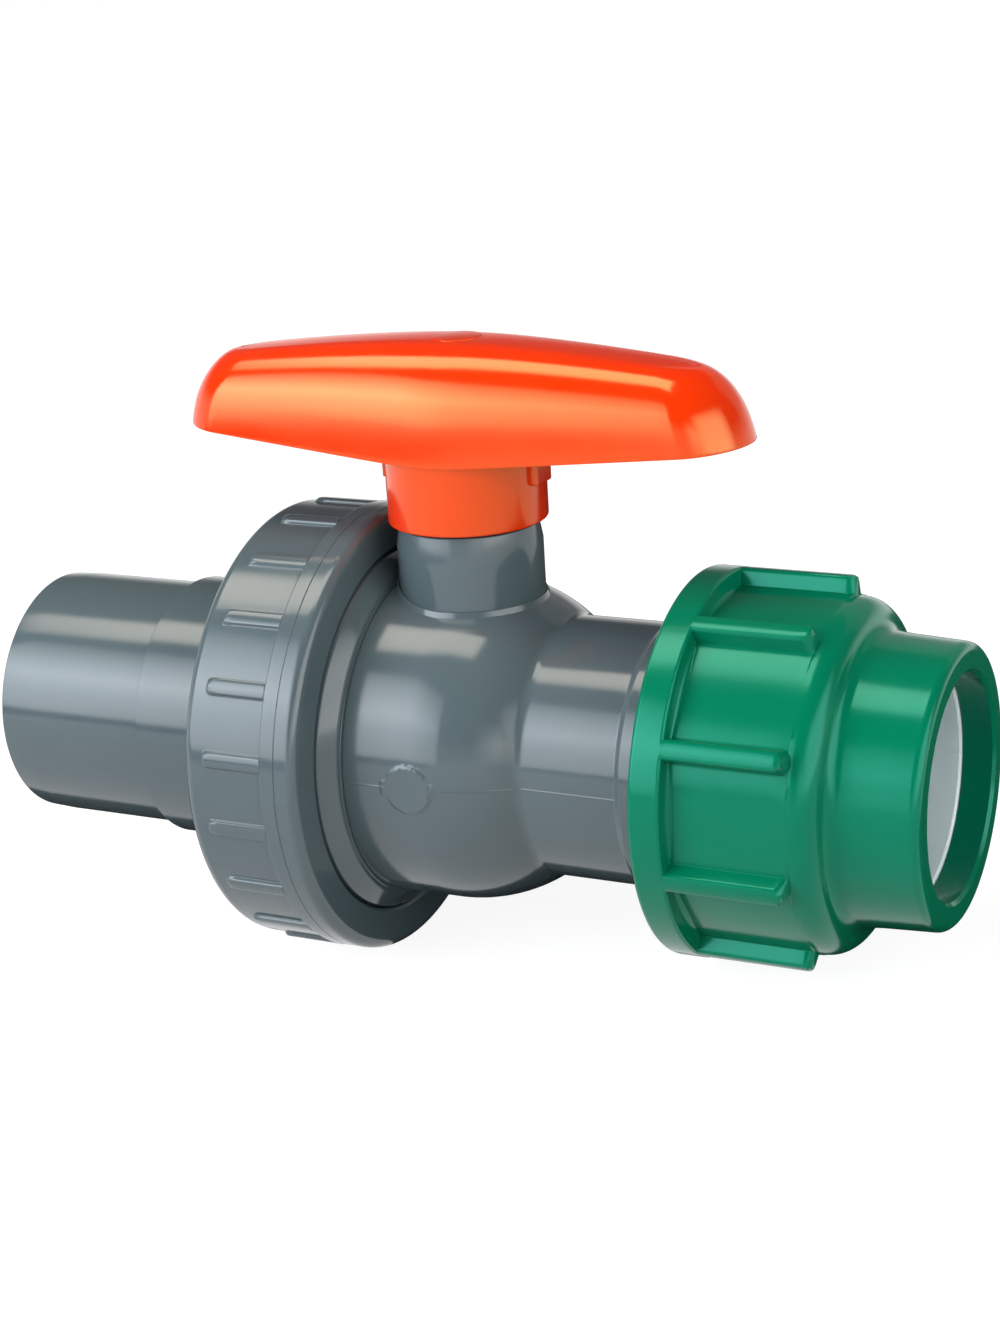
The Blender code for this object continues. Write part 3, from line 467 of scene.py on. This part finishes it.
def bodyShell():
    radius, neck, fillet = globe["radius"], globe["neck"], globe["fillet"]
    middle = math.sqrt((radius + fillet) ** 2 - (neck + fillet) ** 2)
    sweep = math.degrees(math.atan2(middle, neck + fillet))
    nearGate = 12
    outline = [(83.98, 31.4), (83.98, 35.4), (82.98, 36.4), (60.28, 36.4), (59.98, 36.1), (59.98, 33.2),
               (51.5, 33.2), (51.0, 33.0), (50.1, 32.1), (49.7, 31.85), (49.3, neck), (44, neck), (38, neck),
               (32, neck), (middle, neck), (middle, neck + fillet, sweep, 4), (0, 0, nearGate - sweep, 2.5),
               (0, 0, -nearGate, 0.65)]
    outline += [(-0.46 * step, radius) for step in range(1, 19)]
    outline += [(-12, radius), (-16.7, radius), (-16.85, 40.1), (-17.1, 40.1), (-17.15, 40.9), (-17.3, 41.0),
                (-17.45, 40.8), (-17.6, 41.5), (-17.8, 42.1), (-20.5, 45.2), (-20.9, 45.5), (-21.2, 45.6),
                (-22.39, 45.6), (-22.39, 43.5), (-39.78, 43.5),
                (-40.28, 43.0), (-40.28, 35.1), (-39.78, 34.6), (-32.68, 34.6), (-32.68, 31.0), (16.08, 31.0),
                (16.08, 27.3), (24.38, 27.3), (24.38, 25.4), (27.28, 25.4), (27.28, 22.2), (24.38, 22.2),
                (24.38, 20.0), (45.98, 20.0), (45.98, 25.3), (76.48, 25.3), (76.48, 30.9), (83.48, 30.9)]
    shape = bmesh.new()
    drawOutline(shape, outline)
    spinTo(shape, bodyAngles())
    for vert in shape.verts:
        x, y, z = vert.co
        out = math.hypot(y, z)
        if not -16.5 < x < 59.5 or out < neck - 0.5:
            continue
        wanted = out
        if abs(z) < 0.3 and x < 50:               # the mould's parting line along both sides
            wanted += globe["partingRise"] * max(0, 1 - abs(z) / (1.6 * globe["partingHalf"]))
        away = math.hypot(x - gateDisc["x"], z - gateDisc["z"])
        if y < 0 and away < gateDisc["radius"]:   # the flat disc that the gate left
            share = min(1, (gateDisc["radius"] - away) / gateDisc["edge"])
            wanted = max(wanted, out + share * (math.hypot(gateDisc["face"], z) - out))
        elif y < 0 and away < gateDisc["radius"] + 1 and abs(z - gateDisc["z"]) < gateDisc["tick"]:
            wanted += 0.2
        vert.co.y *= wanted / out
        vert.co.z *= wanted / out
    tidyMesh(shape)
    return shape


def bossShell():
    radius, fillet, top, edge = boss["radius"], boss["fillet"], boss["top"], boss["edge"]
    outline = [(-3, boss["hole"]), (top - 0.4, boss["hole"]), (top, boss["hole"] + 0.4), (top, radius - edge)]
    outline += [(top - edge, radius - edge, 90, 15), (50, radius), (46, radius), (fillet, radius)]
    outline += [(fillet, radius + fillet, -90, 15), (-0.6, radius + fillet + 0.8), (-3, radius + fillet)]
    shape = turned(outline, smooth["stem"])
    bmesh.ops.transform(shape, matrix=stemUp, verts=shape.verts)
    for vert in shape.verts:                      # the foot's rows are drawn as heights over the globe
        if vert.co.z < 10:
            vert.co.z += globeTop(vert.co.x, vert.co.y)
    return shape


def valveBody():
    stemBore = turned([(20, 0), (20, 13.4), (34.9, 13.4), (34.9, boss["hole"]), (48, boss["hole"]), (48, 0)],
                      smooth["stem"], closed=False)
    bmesh.ops.transform(stemBore, matrix=stemUp, verts=stemBore.verts)
    shape = carve(bodyShell(), stemBore)
    addShape(shape, bossShell())
    for thread in (bodyThread, pipeThread, carrierNutThread):
        addShape(shape, threadRidge(thread))
    makePiece(shape, "valveBody", "body", greyPvcu, "valve_body", "threaded_pipe_end")


valveBody()
print("valve body ready")


# seats, carrier, bush and seals inside the body

carrierThread = {"foot": 31.7, "crest": 34.0, "base": 2.12, "tip": 1.08, "start": -36.92, "pitch": 4,
                 "turns": 0.75}
carrierSlot = {"depth": 6.0, "reach": 21.0, "half": 4.4}


def insideBody():
    seat = [(24.08, 26.6), (23.68, 27.0), (16.48, 27.0), (16.08, 26.6), (16.08, 25.2), (22.18, 20.6),
            (23.78, 20.6), (24.08, 20.9)]
    for name, side, node in (("pipeSideSeat", 1, "pipe_side_ball_seat"),
                             ("unionSideSeat", -1, "union_side_ball_seat")):
        makePiece(turned([(side * x, r) for x, r in seat]), name, "body", whitePtfe, node)
        cushion = sealRing(side * 25.68, 23.8, 2.6)
        makePiece(cushion, name + "Cushion", "body", blackEpdm, node.replace("ball_seat", "seat_cushion"))
    outline = [(-16.08, 30.2), (-16.48, 30.6), (-28.48, 30.6), (-28.48, 27.8), (-31.68, 27.8), (-31.68, 30.6),
               (-32.98, 30.6), (-32.98, 32.4), (-39.48, 32.4), (-39.98, 31.9), (-39.98, 20.4), (-39.58, 20.0),
               (-24.38, 20.0), (-24.38, 22.2), (-27.28, 22.2), (-27.28, 25.4), (-24.38, 25.4), (-24.38, 27.3),
               (-16.08, 27.3)]
    keySlot = block((-40.7, -carrierSlot["reach"], -carrierSlot["half"]),
                    (-39.98 + carrierSlot["depth"], carrierSlot["reach"], carrierSlot["half"]))
    shape = carve(turned(outline), keySlot)
    addShape(shape, threadRidge(carrierThread))
    makePiece(shape, "seatCarrier", "body", greyPvcu, "seat_carrier")
    makePiece(sealRing(-30.08, 29.4, 2.6), "carrierSeal", "body", blackEpdm, "carrier_o_ring")
    bush = [(88.78, 32.5), (88.38, 32.9), (84.58, 32.9), (84.28, 32.6), (84.28, 30.6), (82.38, 30.6),
            (82.08, 30.3), (82.08, 26.1), (82.58, 25.6), (88.28, 25.6), (88.78, 26.1)]
    makePiece(turned(bush), "pressureBush", "body", blackPom, "pressure_bush")
    makePiece(sealRing(79.28, 28.1, 5.0), "pipeSeal", "body", blackEpdm, "pipe_o_ring")


insideBody()
print("inner rings ready")


# ball and stem

ballPlug = {"sphere": 29.5, "bore": 20.0, "edge": 0.5}
stemGrooves = (39.4, 45.9)


def ballAndStem():
    sphere, bore, bevel = ballPlug["sphere"], ballPlug["bore"], ballPlug["edge"]
    sweep = math.degrees(math.acos(bore / sphere))
    edge = sphere * math.sin(math.radians(sweep))
    slotCutter = block((-5.4, -32, 22.4), (5.4, 32, 32))
    ballShape = turned([(edge, bore), (0, 0, -2 * sweep, 3)],
                       rounds=((edge, bore, bevel), (-edge, bore, bevel)))
    makePiece(carve(ballShape, slotCutter), "ballPlug", "operator", greyPvcu, "ball")
    outline = [(30.2, 0), (30.2, 12.6), (30.6, 13.0), (33.1, 13.0), (33.1, 10.0)]
    for groove in stemGrooves:
        outline += [(groove - 1.6, 10.0), (groove - 1.6, 7.1), (groove + 1.6, 7.1), (groove + 1.6, 10.0)]
    outline += [(54.4, 10.0), (55.0, 9.4), (55.0, 0)]
    shape = turned(outline, smooth["stem"], closed=False)
    bmesh.ops.transform(shape, matrix=stemUp, verts=shape.verts)
    addShape(shape, block((-6.5, -6.5, 54.3), (6.5, 6.5, 93.0), 0.9))
    addShape(shape, block((-5, -12, 22.8), (5, 12, 30.9), 0.6))
    makePiece(shape, "stemShaft", "operator", greyPvcu, "stem")
    for name, height, node in (("lowerStemSeal", stemGrooves[0], "lower_stem_o_ring"),
                               ("upperStemSeal", stemGrooves[1], "upper_stem_o_ring")):
        seal = sealRing(height, 8.7, 2.6)
        bmesh.ops.transform(seal, matrix=stemUp, verts=seal.verts)
        makePiece(seal, name, "operator", blackEpdm, node)
    washer = turned([(34.6, 12.8), (34.4, 13.0), (33.6, 13.0), (33.4, 12.8), (33.4, 10.4), (34.6, 10.4)],
                    smooth["stem"])
    bmesh.ops.transform(washer, matrix=stemUp, verts=washer.verts)
    makePiece(washer, "thrustWasher", "operator", whitePtfe, "stem_thrust_washer")


ballAndStem()
print("ball and stem ready")


# handle

bar = {"length": 147.2, "width": 40.4, "endWidth": 27.6, "endRound": 12.5, "rim": 72.4, "top": 99.8,
       "rimRise": 5.4, "topDrop": 4.6, "lean": (1, 4), "shoulder": ((47, 20, 9), (90, 13, 7)), "slim": 0.3,
       "endIn": 13.5, "endLean": 0.25, "blend": 0.08, "wall": 3.0, "lip": 0.7, "crown": 0.2,
       "wallSteps": 7, "sideSteps": 22, "endSteps": 14}
hub = {"radius": 19.4, "edge": 0.5, "bottom": 55.7, "top": 73.4, "square": 6.8, "lugHalf": 4.0,
       "lugOut": 20.9, "lugBottom": 65.4}
capDisc = {"radius": 5.8, "rise": 0.25}


# share of the half length, eased so that the two halves meet without a crease
def eased(share):
    blend = bar["blend"]
    return (math.hypot(share, blend) - blend) / (math.hypot(1, blend) - blend)


# half the width at the rim, and how much of it the rounded end leaves
def barHalfWidth(share):
    width = (bar["width"] + (bar["endWidth"] - bar["width"]) * eased(share)) / 2
    start = 1 - 2 * bar["endRound"] / bar["length"]
    left = math.sqrt(max(0, 1 - ((share - start) / (1 - start)) ** 2)) if share > start else 1
    return width, left


def barStations():
    start = 1 - 2 * bar["endRound"] / bar["length"]
    half = [start * step / bar["sideSteps"] for step in range(bar["sideSteps"])]
    half += [start + (1 - start) * math.sin(math.pi / 2 * step / bar["endSteps"])
             for step in range(bar["endSteps"] + 1)]
    return [-share for share in reversed(half[1:])] + half


# levels from the rim up: share of the straight side, its lean so far, then lift and inset of the shoulder,
# and how far the end has drawn in
def barLevels():
    low, high = (math.tan(math.radians(angle)) for angle in bar["lean"])
    turn, lift, inset, arcs = math.radians(bar["lean"][1]), 0, 0, []
    for end, radius, steps in bar["shoulder"]:
        for step in range(steps):
            after = turn + (math.radians(end) - turn) / (steps - step)
            lift += radius * (math.sin(after) - math.sin(turn))
            inset += radius * (math.cos(turn) - math.cos(after))
            turn = after
            arcs.append((lift, inset))
    height = bar["top"] - bar["topDrop"] - bar["rim"] - bar["rimRise"]
    over = lift * (1 - bar["slim"])

    def endIn(up):
        return bar["endIn"] * (bar["endLean"] * up + (1 - bar["endLean"]) * (1 - math.sqrt(max(0, 1 - up ** 2))))

    levels = []
    for step in range(1, bar["wallSteps"] + 1):
        share = step / bar["wallSteps"]
        lean = share * low + share ** 2 * (high - low) / 2
        levels.append((share, lean, 0, 0, endIn(share * (1 - over / height))))
    for rise, inward in arcs:
        levels.append((1, lean, rise, inward, endIn(1 - (over - rise * (1 - bar["slim"])) / height)))
    return levels


def placeRing(verts, share, lean, lift, inset, endIn, spread, wall):
    stations = barStations()
    spots = [(s, 1) for s in stations] + [(s, -1) for s in reversed(stations)]
    shoulder = barLevels()[-1][2]
    for vert, (station, side) in zip(verts, spots):
        away = abs(station)
        size = 1 - bar["slim"] * away
        low = bar["rim"] + bar["rimRise"] * eased(away)
        tall = bar["top"] - bar["topDrop"] * eased(away) ** 1.5 - wall - shoulder * size - low
        width, left = barHalfWidth(away)
        across = max(0.5, width - lean * tall - inset * size - wall) * left
        vert.co = (station * (bar["length"] / 2 - endIn - wall), side * spread * across,
                   low + share * tall + lift * size + (1 - spread) * bar["crown"])


def barShape():
    wall, lip = bar["wall"], bar["lip"]
    outer = [(0, 0, 0, 0.05, 0.05, 1, 0), (0.03, 0, 0, 0, 0, 1, 0)] + [(*level, 1, 0) for level in barLevels()]
    inner = [(*level, 1, wall) for level in barLevels()]
    rings = [(*outer[-1][:5], 0, 0), *reversed(outer), (0, 0, 0, lip, lip, 1, 0), (0, 0, 0, -0.4, -0.4, 1, wall),
             *inner, (*inner[-1][:5], 0, wall)]
    shape = bmesh.new()
    count = 2 * len(barStations())
    verts = bmesh.ops.create_circle(shape, segments=count, radius=1)["verts"]
    placeRing(verts, *rings[0])
    loop = [shape.edges.get((verts[i], verts[(i + 1) % count])) for i in range(count)]
    for ring in rings[1:]:
        grown = bmesh.ops.extrude_edge_only(shape, edges=loop)["geom"]
        fresh = {part for part in grown if isinstance(part, bmesh.types.BMVert)}
        after = []
        for vert in verts:                        # follow each old vertex up to its new one
            after.append(next(e.other_vert(vert) for e in vert.link_edges if e.other_vert(vert) in fresh))
        verts = after
        loop = [shape.edges.get((verts[i], verts[(i + 1) % count])) for i in range(count)]
        placeRing(verts, *ring)
    tidyMesh(shape)
    return shape


def handleBar():
    shape = barShape()
    inside = hub["radius"] - hub["edge"]
    hubShape = turned([(hub["bottom"], 0), (hub["bottom"], inside), (hub["bottom"] + hub["edge"], inside, 90, 15),
                       (hub["top"], hub["radius"]), (hub["top"], 0)], smooth["stem"], closed=False)
    bmesh.ops.transform(hubShape, matrix=stemUp, verts=hubShape.verts)
    half = hub["square"]
    addShape(shape, carve(hubShape, block((-half, -half, 50), (half, half, 74))))
    for side in (-1, 1):
        near, far = sorted((side * 18.0, side * hub["lugOut"]))
        addShape(shape, block((near, -hub["lugHalf"], hub["lugBottom"]), (far, hub["lugHalf"], hub["top"]), 0.5))
    for side in (-1, 1):                          # the solid middle, on both sides of the stem's square
        near, far = sorted((side * half, side * 11.5))
        addShape(shape, block((near, -13.0, 72.0), (far, 13.0, 90.0)))
    face, wide = bar["top"] + capDisc["rise"], capDisc["radius"]
    disc = turned([(98, 0), (98, wide), (face - 0.1, wide), (face, wide - 0.25), (face + 0.15, 0)],
                  smooth["stem"], closed=False)
    bmesh.ops.transform(disc, matrix=stemUp, verts=disc.verts)
    addShape(shape, disc)
    makePiece(shape, "barHandle", "handle", orangeAbs, "handle")


handleBar()
print("handle ready")


# compression nut and clamp ring

nutRib = {"count": 9, "phase": 27.0, "radius": 41.9, "height": 4.6, "width": 5.4, "fillet": 1.0,
          "draft": 0.45, "edge": 1.2, "corner": 2.5, "end": 95.2, "reach": 1, "flat": 0.8, "fade": 6,
          "openSteps": 9}
nutThread = {"foot": 39.7, "crest": 37.0, "base": 3.18, "tip": 1.62, "start": 66.16, "pitch": 6,
             "turns": 2.25}
clamp = {"slit": 3.0, "bore": 25.6, "toothDepth": 0.9, "toothPitch": 3.2, "teeth": 4}


def compressionNut():
    wall = sorted((nutRib["end"] - stop for stop in ribStops(nutRib)), reverse=True)
    wall = [x for x in wall if x < 94.9] + [92.6 - 2.3 * step for step in range(10)]
    outline = [(122.48, 27.3), (122.48, 31.05), (120.08, 31.05, -90, 12), (114, 33.75), (108, 34.05),
               (104.69, 34.35), (104.69, 37.85, 75.8, 8), (95.0, 35.4, -75.8, 5)]
    outline += [(x, 41.9) for x in wall]
    outline += [(68.28, 41.9), (68.28, 43.4, 90, 12), (66.78, 45.7), (65.98, 45.7, -90, 22), (63, 46.5),
                (60.18, 46.5), (60.18, 45.3, -90, 15), (58.98, 39.6), (59.58, 39.0), (88.78, 39.0),
                (89.08, 32.9), (114.68, 29.8), (114.68, 26.5), (118, 26.5), (121.68, 26.5),
                (121.68, 27.3, -90, 18)]
    shape = bmesh.new()
    drawOutline(shape, outline[:-1])
    spinTo(shape, ribAngles(nutRib))
    raiseRibs(shape, nutRib, 66, 95)
    addShape(shape, threadRidge(nutThread))
    makePiece(shape, "compressionNut", "compression_nut", greenPp, "compression_nut")


def clampRing():
    bore = clamp["bore"]
    steps = [(114.38, 26.1), (114.38, 29.0), (113.98, 29.45), (89.48, 32.45), (89.08, 32.0), (89.08, 26.0),
             (89.48, bore)]
    for number in range(clamp["teeth"]):
        x = 89.08 + clamp["toothPitch"] * (number + 1)
        steps += [(x, bore), (x, bore + clamp["toothDepth"]), (x + 0.8 * clamp["toothPitch"], bore)]
    steps += [(113.88, bore)]
    shape = bmesh.new()
    gap = math.asin(clamp["slit"] / 2 / 29)
    side = Matrix.Rotation(math.pi / 2 + gap, 4, "X")
    section = shape.faces.new([shape.verts.new(side @ Vector((x, 0, r))) for x, r in steps])
    bmesh.ops.spin(shape, geom=[section, *section.edges, *section.verts], cent=(0, 0, 0), axis=(1, 0, 0),
                   angle=math.tau - 2 * gap, steps=smooth["ring"])
    tidyMesh(shape)
    makePiece(shape, "clampRing", "grip", whitePom, "clamp_ring")


compressionNut()
clampRing()
print("compression end ready")


# stage: floor, light and camera

stageSet = {"size": 40.0, "tilt": 5.0, "floorColour": "#8C8C8C", "cardColour": "#303030",
            "nearShine": 0.9, "farShine": 1.0, "near": 0.3, "far": 0.9,
            "worldLow": 1.0, "worldHigh": 0.1, "bandTop": 0.02, "bandFade": 0.25}


def floorLay():
    touch = Vector((-23.6, 0, -56.45))            # the union nut's band rests here, a rib end at the far side
    return Matrix.Translation(touch) @ Matrix.Rotation(-math.radians(stageSet["tilt"]), 4, "Y")


def layFloor():
    shape = bmesh.new()
    bmesh.ops.create_grid(shape, x_segments=1, y_segments=1, size=stageSet["size"] * 500, matrix=floorLay())
    bmesh.ops.transform(shape, matrix=toWorld, verts=shape.verts)
    mesh = bpy.data.meshes.new("floor")
    shape.to_mesh(mesh)
    shape.free()
    floor = bpy.data.objects.new("floor", mesh)
    bpy.context.scene.collection.objects.link(floor)
    look = bpy.data.materials.new("white studio paper")
    look.use_nodes = True
    tree = look.node_tree
    tree.nodes.clear()
    ray = addNode(tree, "LightPath")
    seen = addNode(tree, "Math", [(0, ray.outputs["Is Camera Ray"]), (1, ray.outputs["Is Glossy Ray"])],
                   operation="ADD")
    seen = addNode(tree, "Math", [(0, seen.outputs[0]), (1, ray.outputs["Is Transmission Ray"])],
                   operation="ADD", use_clamp=True)
    where = addNode(tree, "TexCoord").outputs["Object"]
    away = addNode(tree, "VectorMath", [(0, where)], operation="LENGTH")
    spread = addNode(tree, "MapRange", [("Value", away.outputs["Value"])],
                     [("From Min", stageSet["near"]), ("From Max", stageSet["far"]),
                      ("To Min", stageSet["nearShine"]), ("To Max", stageSet["farShine"])])
    shine = addNode(tree, "Math", [(0, seen.outputs[0]), (1, spread.outputs["Result"])], operation="MULTIPLY")
    paper = addNode(tree, "BsdfDiffuse", [], [("Color", linear(stageSet["floorColour"]))])
    white = addNode(tree, "Emission", [("Strength", shine.outputs[0])])
    both = addNode(tree, "AddShader", [(0, paper.outputs[0]), (1, white.outputs[0])])
    addNode(tree, "OutputMaterial", [("Surface", both.outputs[0])])
    mesh.materials.append(look)


# a softbox is brightest about its hot spot and falls off to its edges:
# (middle, even half, half span, left at the end)
def softbox(name, aim, place, size, radiance, colour, hotAcross=None, hotUp=None):
    lamp = bpy.data.lights.new(name, "AREA")
    if hotAcross:
        lamp.use_nodes = True
        tree = lamp.node_tree
        emit = tree.nodes["Emission"]
        cloth = addNode(tree, "NewGeometry").outputs["Parametric"]
        spot = addNode(tree, "SeparateXYZ", [("Vector", cloth)])
        falls = []
        for axis, (middle, even, span, left) in (("X", hotAcross), ("Y", hotUp)):
            off = addNode(tree, "Math", [(0, spot.outputs[axis])], [(1, middle)], operation="SUBTRACT")
            off = addNode(tree, "Math", [(0, off.outputs[0])], operation="ABSOLUTE")
            falls.append(addNode(tree, "MapRange", [("Value", off.outputs[0])],
                                 [("From Min", even), ("From Max", span), ("To Min", 1), ("To Max", left)]
                                 ).outputs["Result"])
        both = addNode(tree, "Math", [(0, falls[0]), (1, falls[1])], operation="MULTIPLY")
        tree.links.new(both.outputs[0], emit.inputs["Strength"])
    lamp.shape = "RECTANGLE"
    lamp.size, lamp.size_y = size
    lamp.energy = radiance * math.pi * size[0] * size[1]
    lamp.color = linear(colour)[:3]
    box = bpy.data.objects.new(name, lamp)
    back = (Vector(place) - Vector(aim)).normalized()
    box.matrix_world = Matrix.Translation(Vector(place)) @ back.to_track_quat("Z", "Y").to_matrix().to_4x4()
    box.visible_camera = False
    bpy.context.scene.collection.objects.link(box)


# black cards, unseen by the camera, that draw dark edges into reflections; the one under the part is painted
# shade
def blackCard(name, low, high, place):
    shape = block(low, high)
    bmesh.ops.transform(shape, matrix=place, verts=shape.verts)
    mesh = bpy.data.meshes.new(name)
    shape.to_mesh(mesh)
    shape.free()
    card = bpy.data.objects.new(name, mesh)
    bpy.context.scene.collection.objects.link(card)
    look = bpy.data.materials.get("black card") or bpy.data.materials.new("black card")
    look.use_nodes = True
    shader = look.node_tree.nodes["Principled BSDF"]
    shader.inputs["Base Color"].default_value = linear(stageSet["cardColour"])
    shader.inputs["Roughness"].default_value = 1
    shader.inputs["Specular IOR Level"].default_value = 0
    mesh.materials.append(look)
    card.visible_camera = card.visible_shadow = card.visible_diffuse = False


def lightStage():
    middle = (0, 0, 0.06)
    softbox("overheadSoftbox", (-0.44, -0.12, 0), (-0.44, -0.12, 1.06), (1.1, 0.42), 5.6, "#FFF5E6",
            (0.35, 0.4, 0.65, 0.25), (0.5, 0.3, 0.6, 0.2))
    softbox("frontPanel", (0.15, 0, 0.66), (-0.6, -0.98, 0.66), (1.26, 1.28), 7.8, "#F2F7FF",
            (0.35, 0.05, 0.65, 0.4), (0.45, 0, 0.55, 0.2))
    softbox("sidePanel", middle, (1.2, -0.3, 0.4), (1.5, 1.1), 3.4, "#FFFFFF", (0.5, 0.25, 0.5, 0.3),
            (0.5, 0.25, 0.5, 0.3))
    softbox("rightPanel", middle, (0.75, -0.95, 0.3), (0.8, 0.7), 2.8, "#FFFFFF", (0.5, 0, 0.5, 0),
            (0.5, 0, 0.5, 0))
    softbox("backFill", middle, (0.3, 1.3, 0.8), (1.4, 0.8), 0.3, "#FFFFFF")
    blackCard("footCard", (-0.55, -0.91, -0.06), (0.55, -0.9, 0.021), Matrix.Rotation(math.radians(-41), 4, "Z"))
    # painted shade: a dark sheet seen only in reflections, standing in for the floor shadowed under the part;
    # further back it stands for darker surroundings
    blackCard("paintedShadeCard", (-500, -12, 0.2), (250, 700, 0.5), toWorld @ floorLay())
    world = bpy.data.worlds.new("studio")
    bpy.context.scene.world = world
    world.use_nodes = True
    tree = world.node_tree
    sky = tree.nodes["Background"]
    way = addNode(tree, "TexCoord").outputs["Generated"]
    up = addNode(tree, "SeparateXYZ", [("Vector", way)]).outputs["Z"]
    fade = addNode(tree, "MapRange", [("Value", up)],
                   [("From Min", stageSet["bandTop"]), ("From Max", stageSet["bandFade"]),
                    ("To Min", stageSet["worldLow"]), ("To Max", stageSet["worldHigh"])])
    tree.links.new(fade.outputs["Result"], sky.inputs["Strength"])
    sky.inputs["Color"].default_value = (1, 1, 1, 1)
    bpy.context.scene.view_settings.view_transform = "Standard"


# the photograph's camera, found from the rims of the spigot, both nuts and the mouth
photoCamera = {"azimuth": 27.127, "elevation": 17.911, "roll": -3.382, "distance": 648.25,
               "focalPixels": 2614.7, "centreSeenAt": (482.23, 733.99), "image": (1000, 1320), "film": 36.0}


def placeCamera():
    shot = photoCamera
    turn, rise, roll = (math.radians(shot[key]) for key in ("azimuth", "elevation", "roll"))
    back = Vector((math.sin(turn) * math.cos(rise), -math.cos(turn) * math.cos(rise), math.sin(rise)))
    level = Vector((math.cos(turn), math.sin(turn), 0))
    upright = back.cross(level)
    right = math.cos(roll) * level + math.sin(roll) * upright
    up = math.cos(roll) * upright - math.sin(roll) * level
    perPixel = shot["distance"] / shot["focalPixels"]
    aside = (shot["centreSeenAt"][0] - shot["image"][0] / 2) * perPixel
    above = (shot["image"][1] / 2 - shot["centreSeenAt"][1]) * perPixel
    spot = toWorld @ (back * shot["distance"] - right * aside - up * above)
    data = bpy.data.cameras.new("photoCamera")
    data.sensor_fit = "AUTO"
    data.sensor_width = shot["film"]
    data.lens = shot["focalPixels"] * shot["film"] / shot["image"][1]
    data.clip_start = 0.01
    data.dof.use_dof = False
    camera = bpy.data.objects.new("photoCamera", data)
    axes = Matrix((right, up, back)).transposed().to_4x4()
    camera.matrix_world = Matrix.Translation(spot) @ axes
    bpy.context.scene.collection.objects.link(camera)
    bpy.context.scene.camera = camera


layFloor()
lightStage()
placeCamera()
print("stage ready")
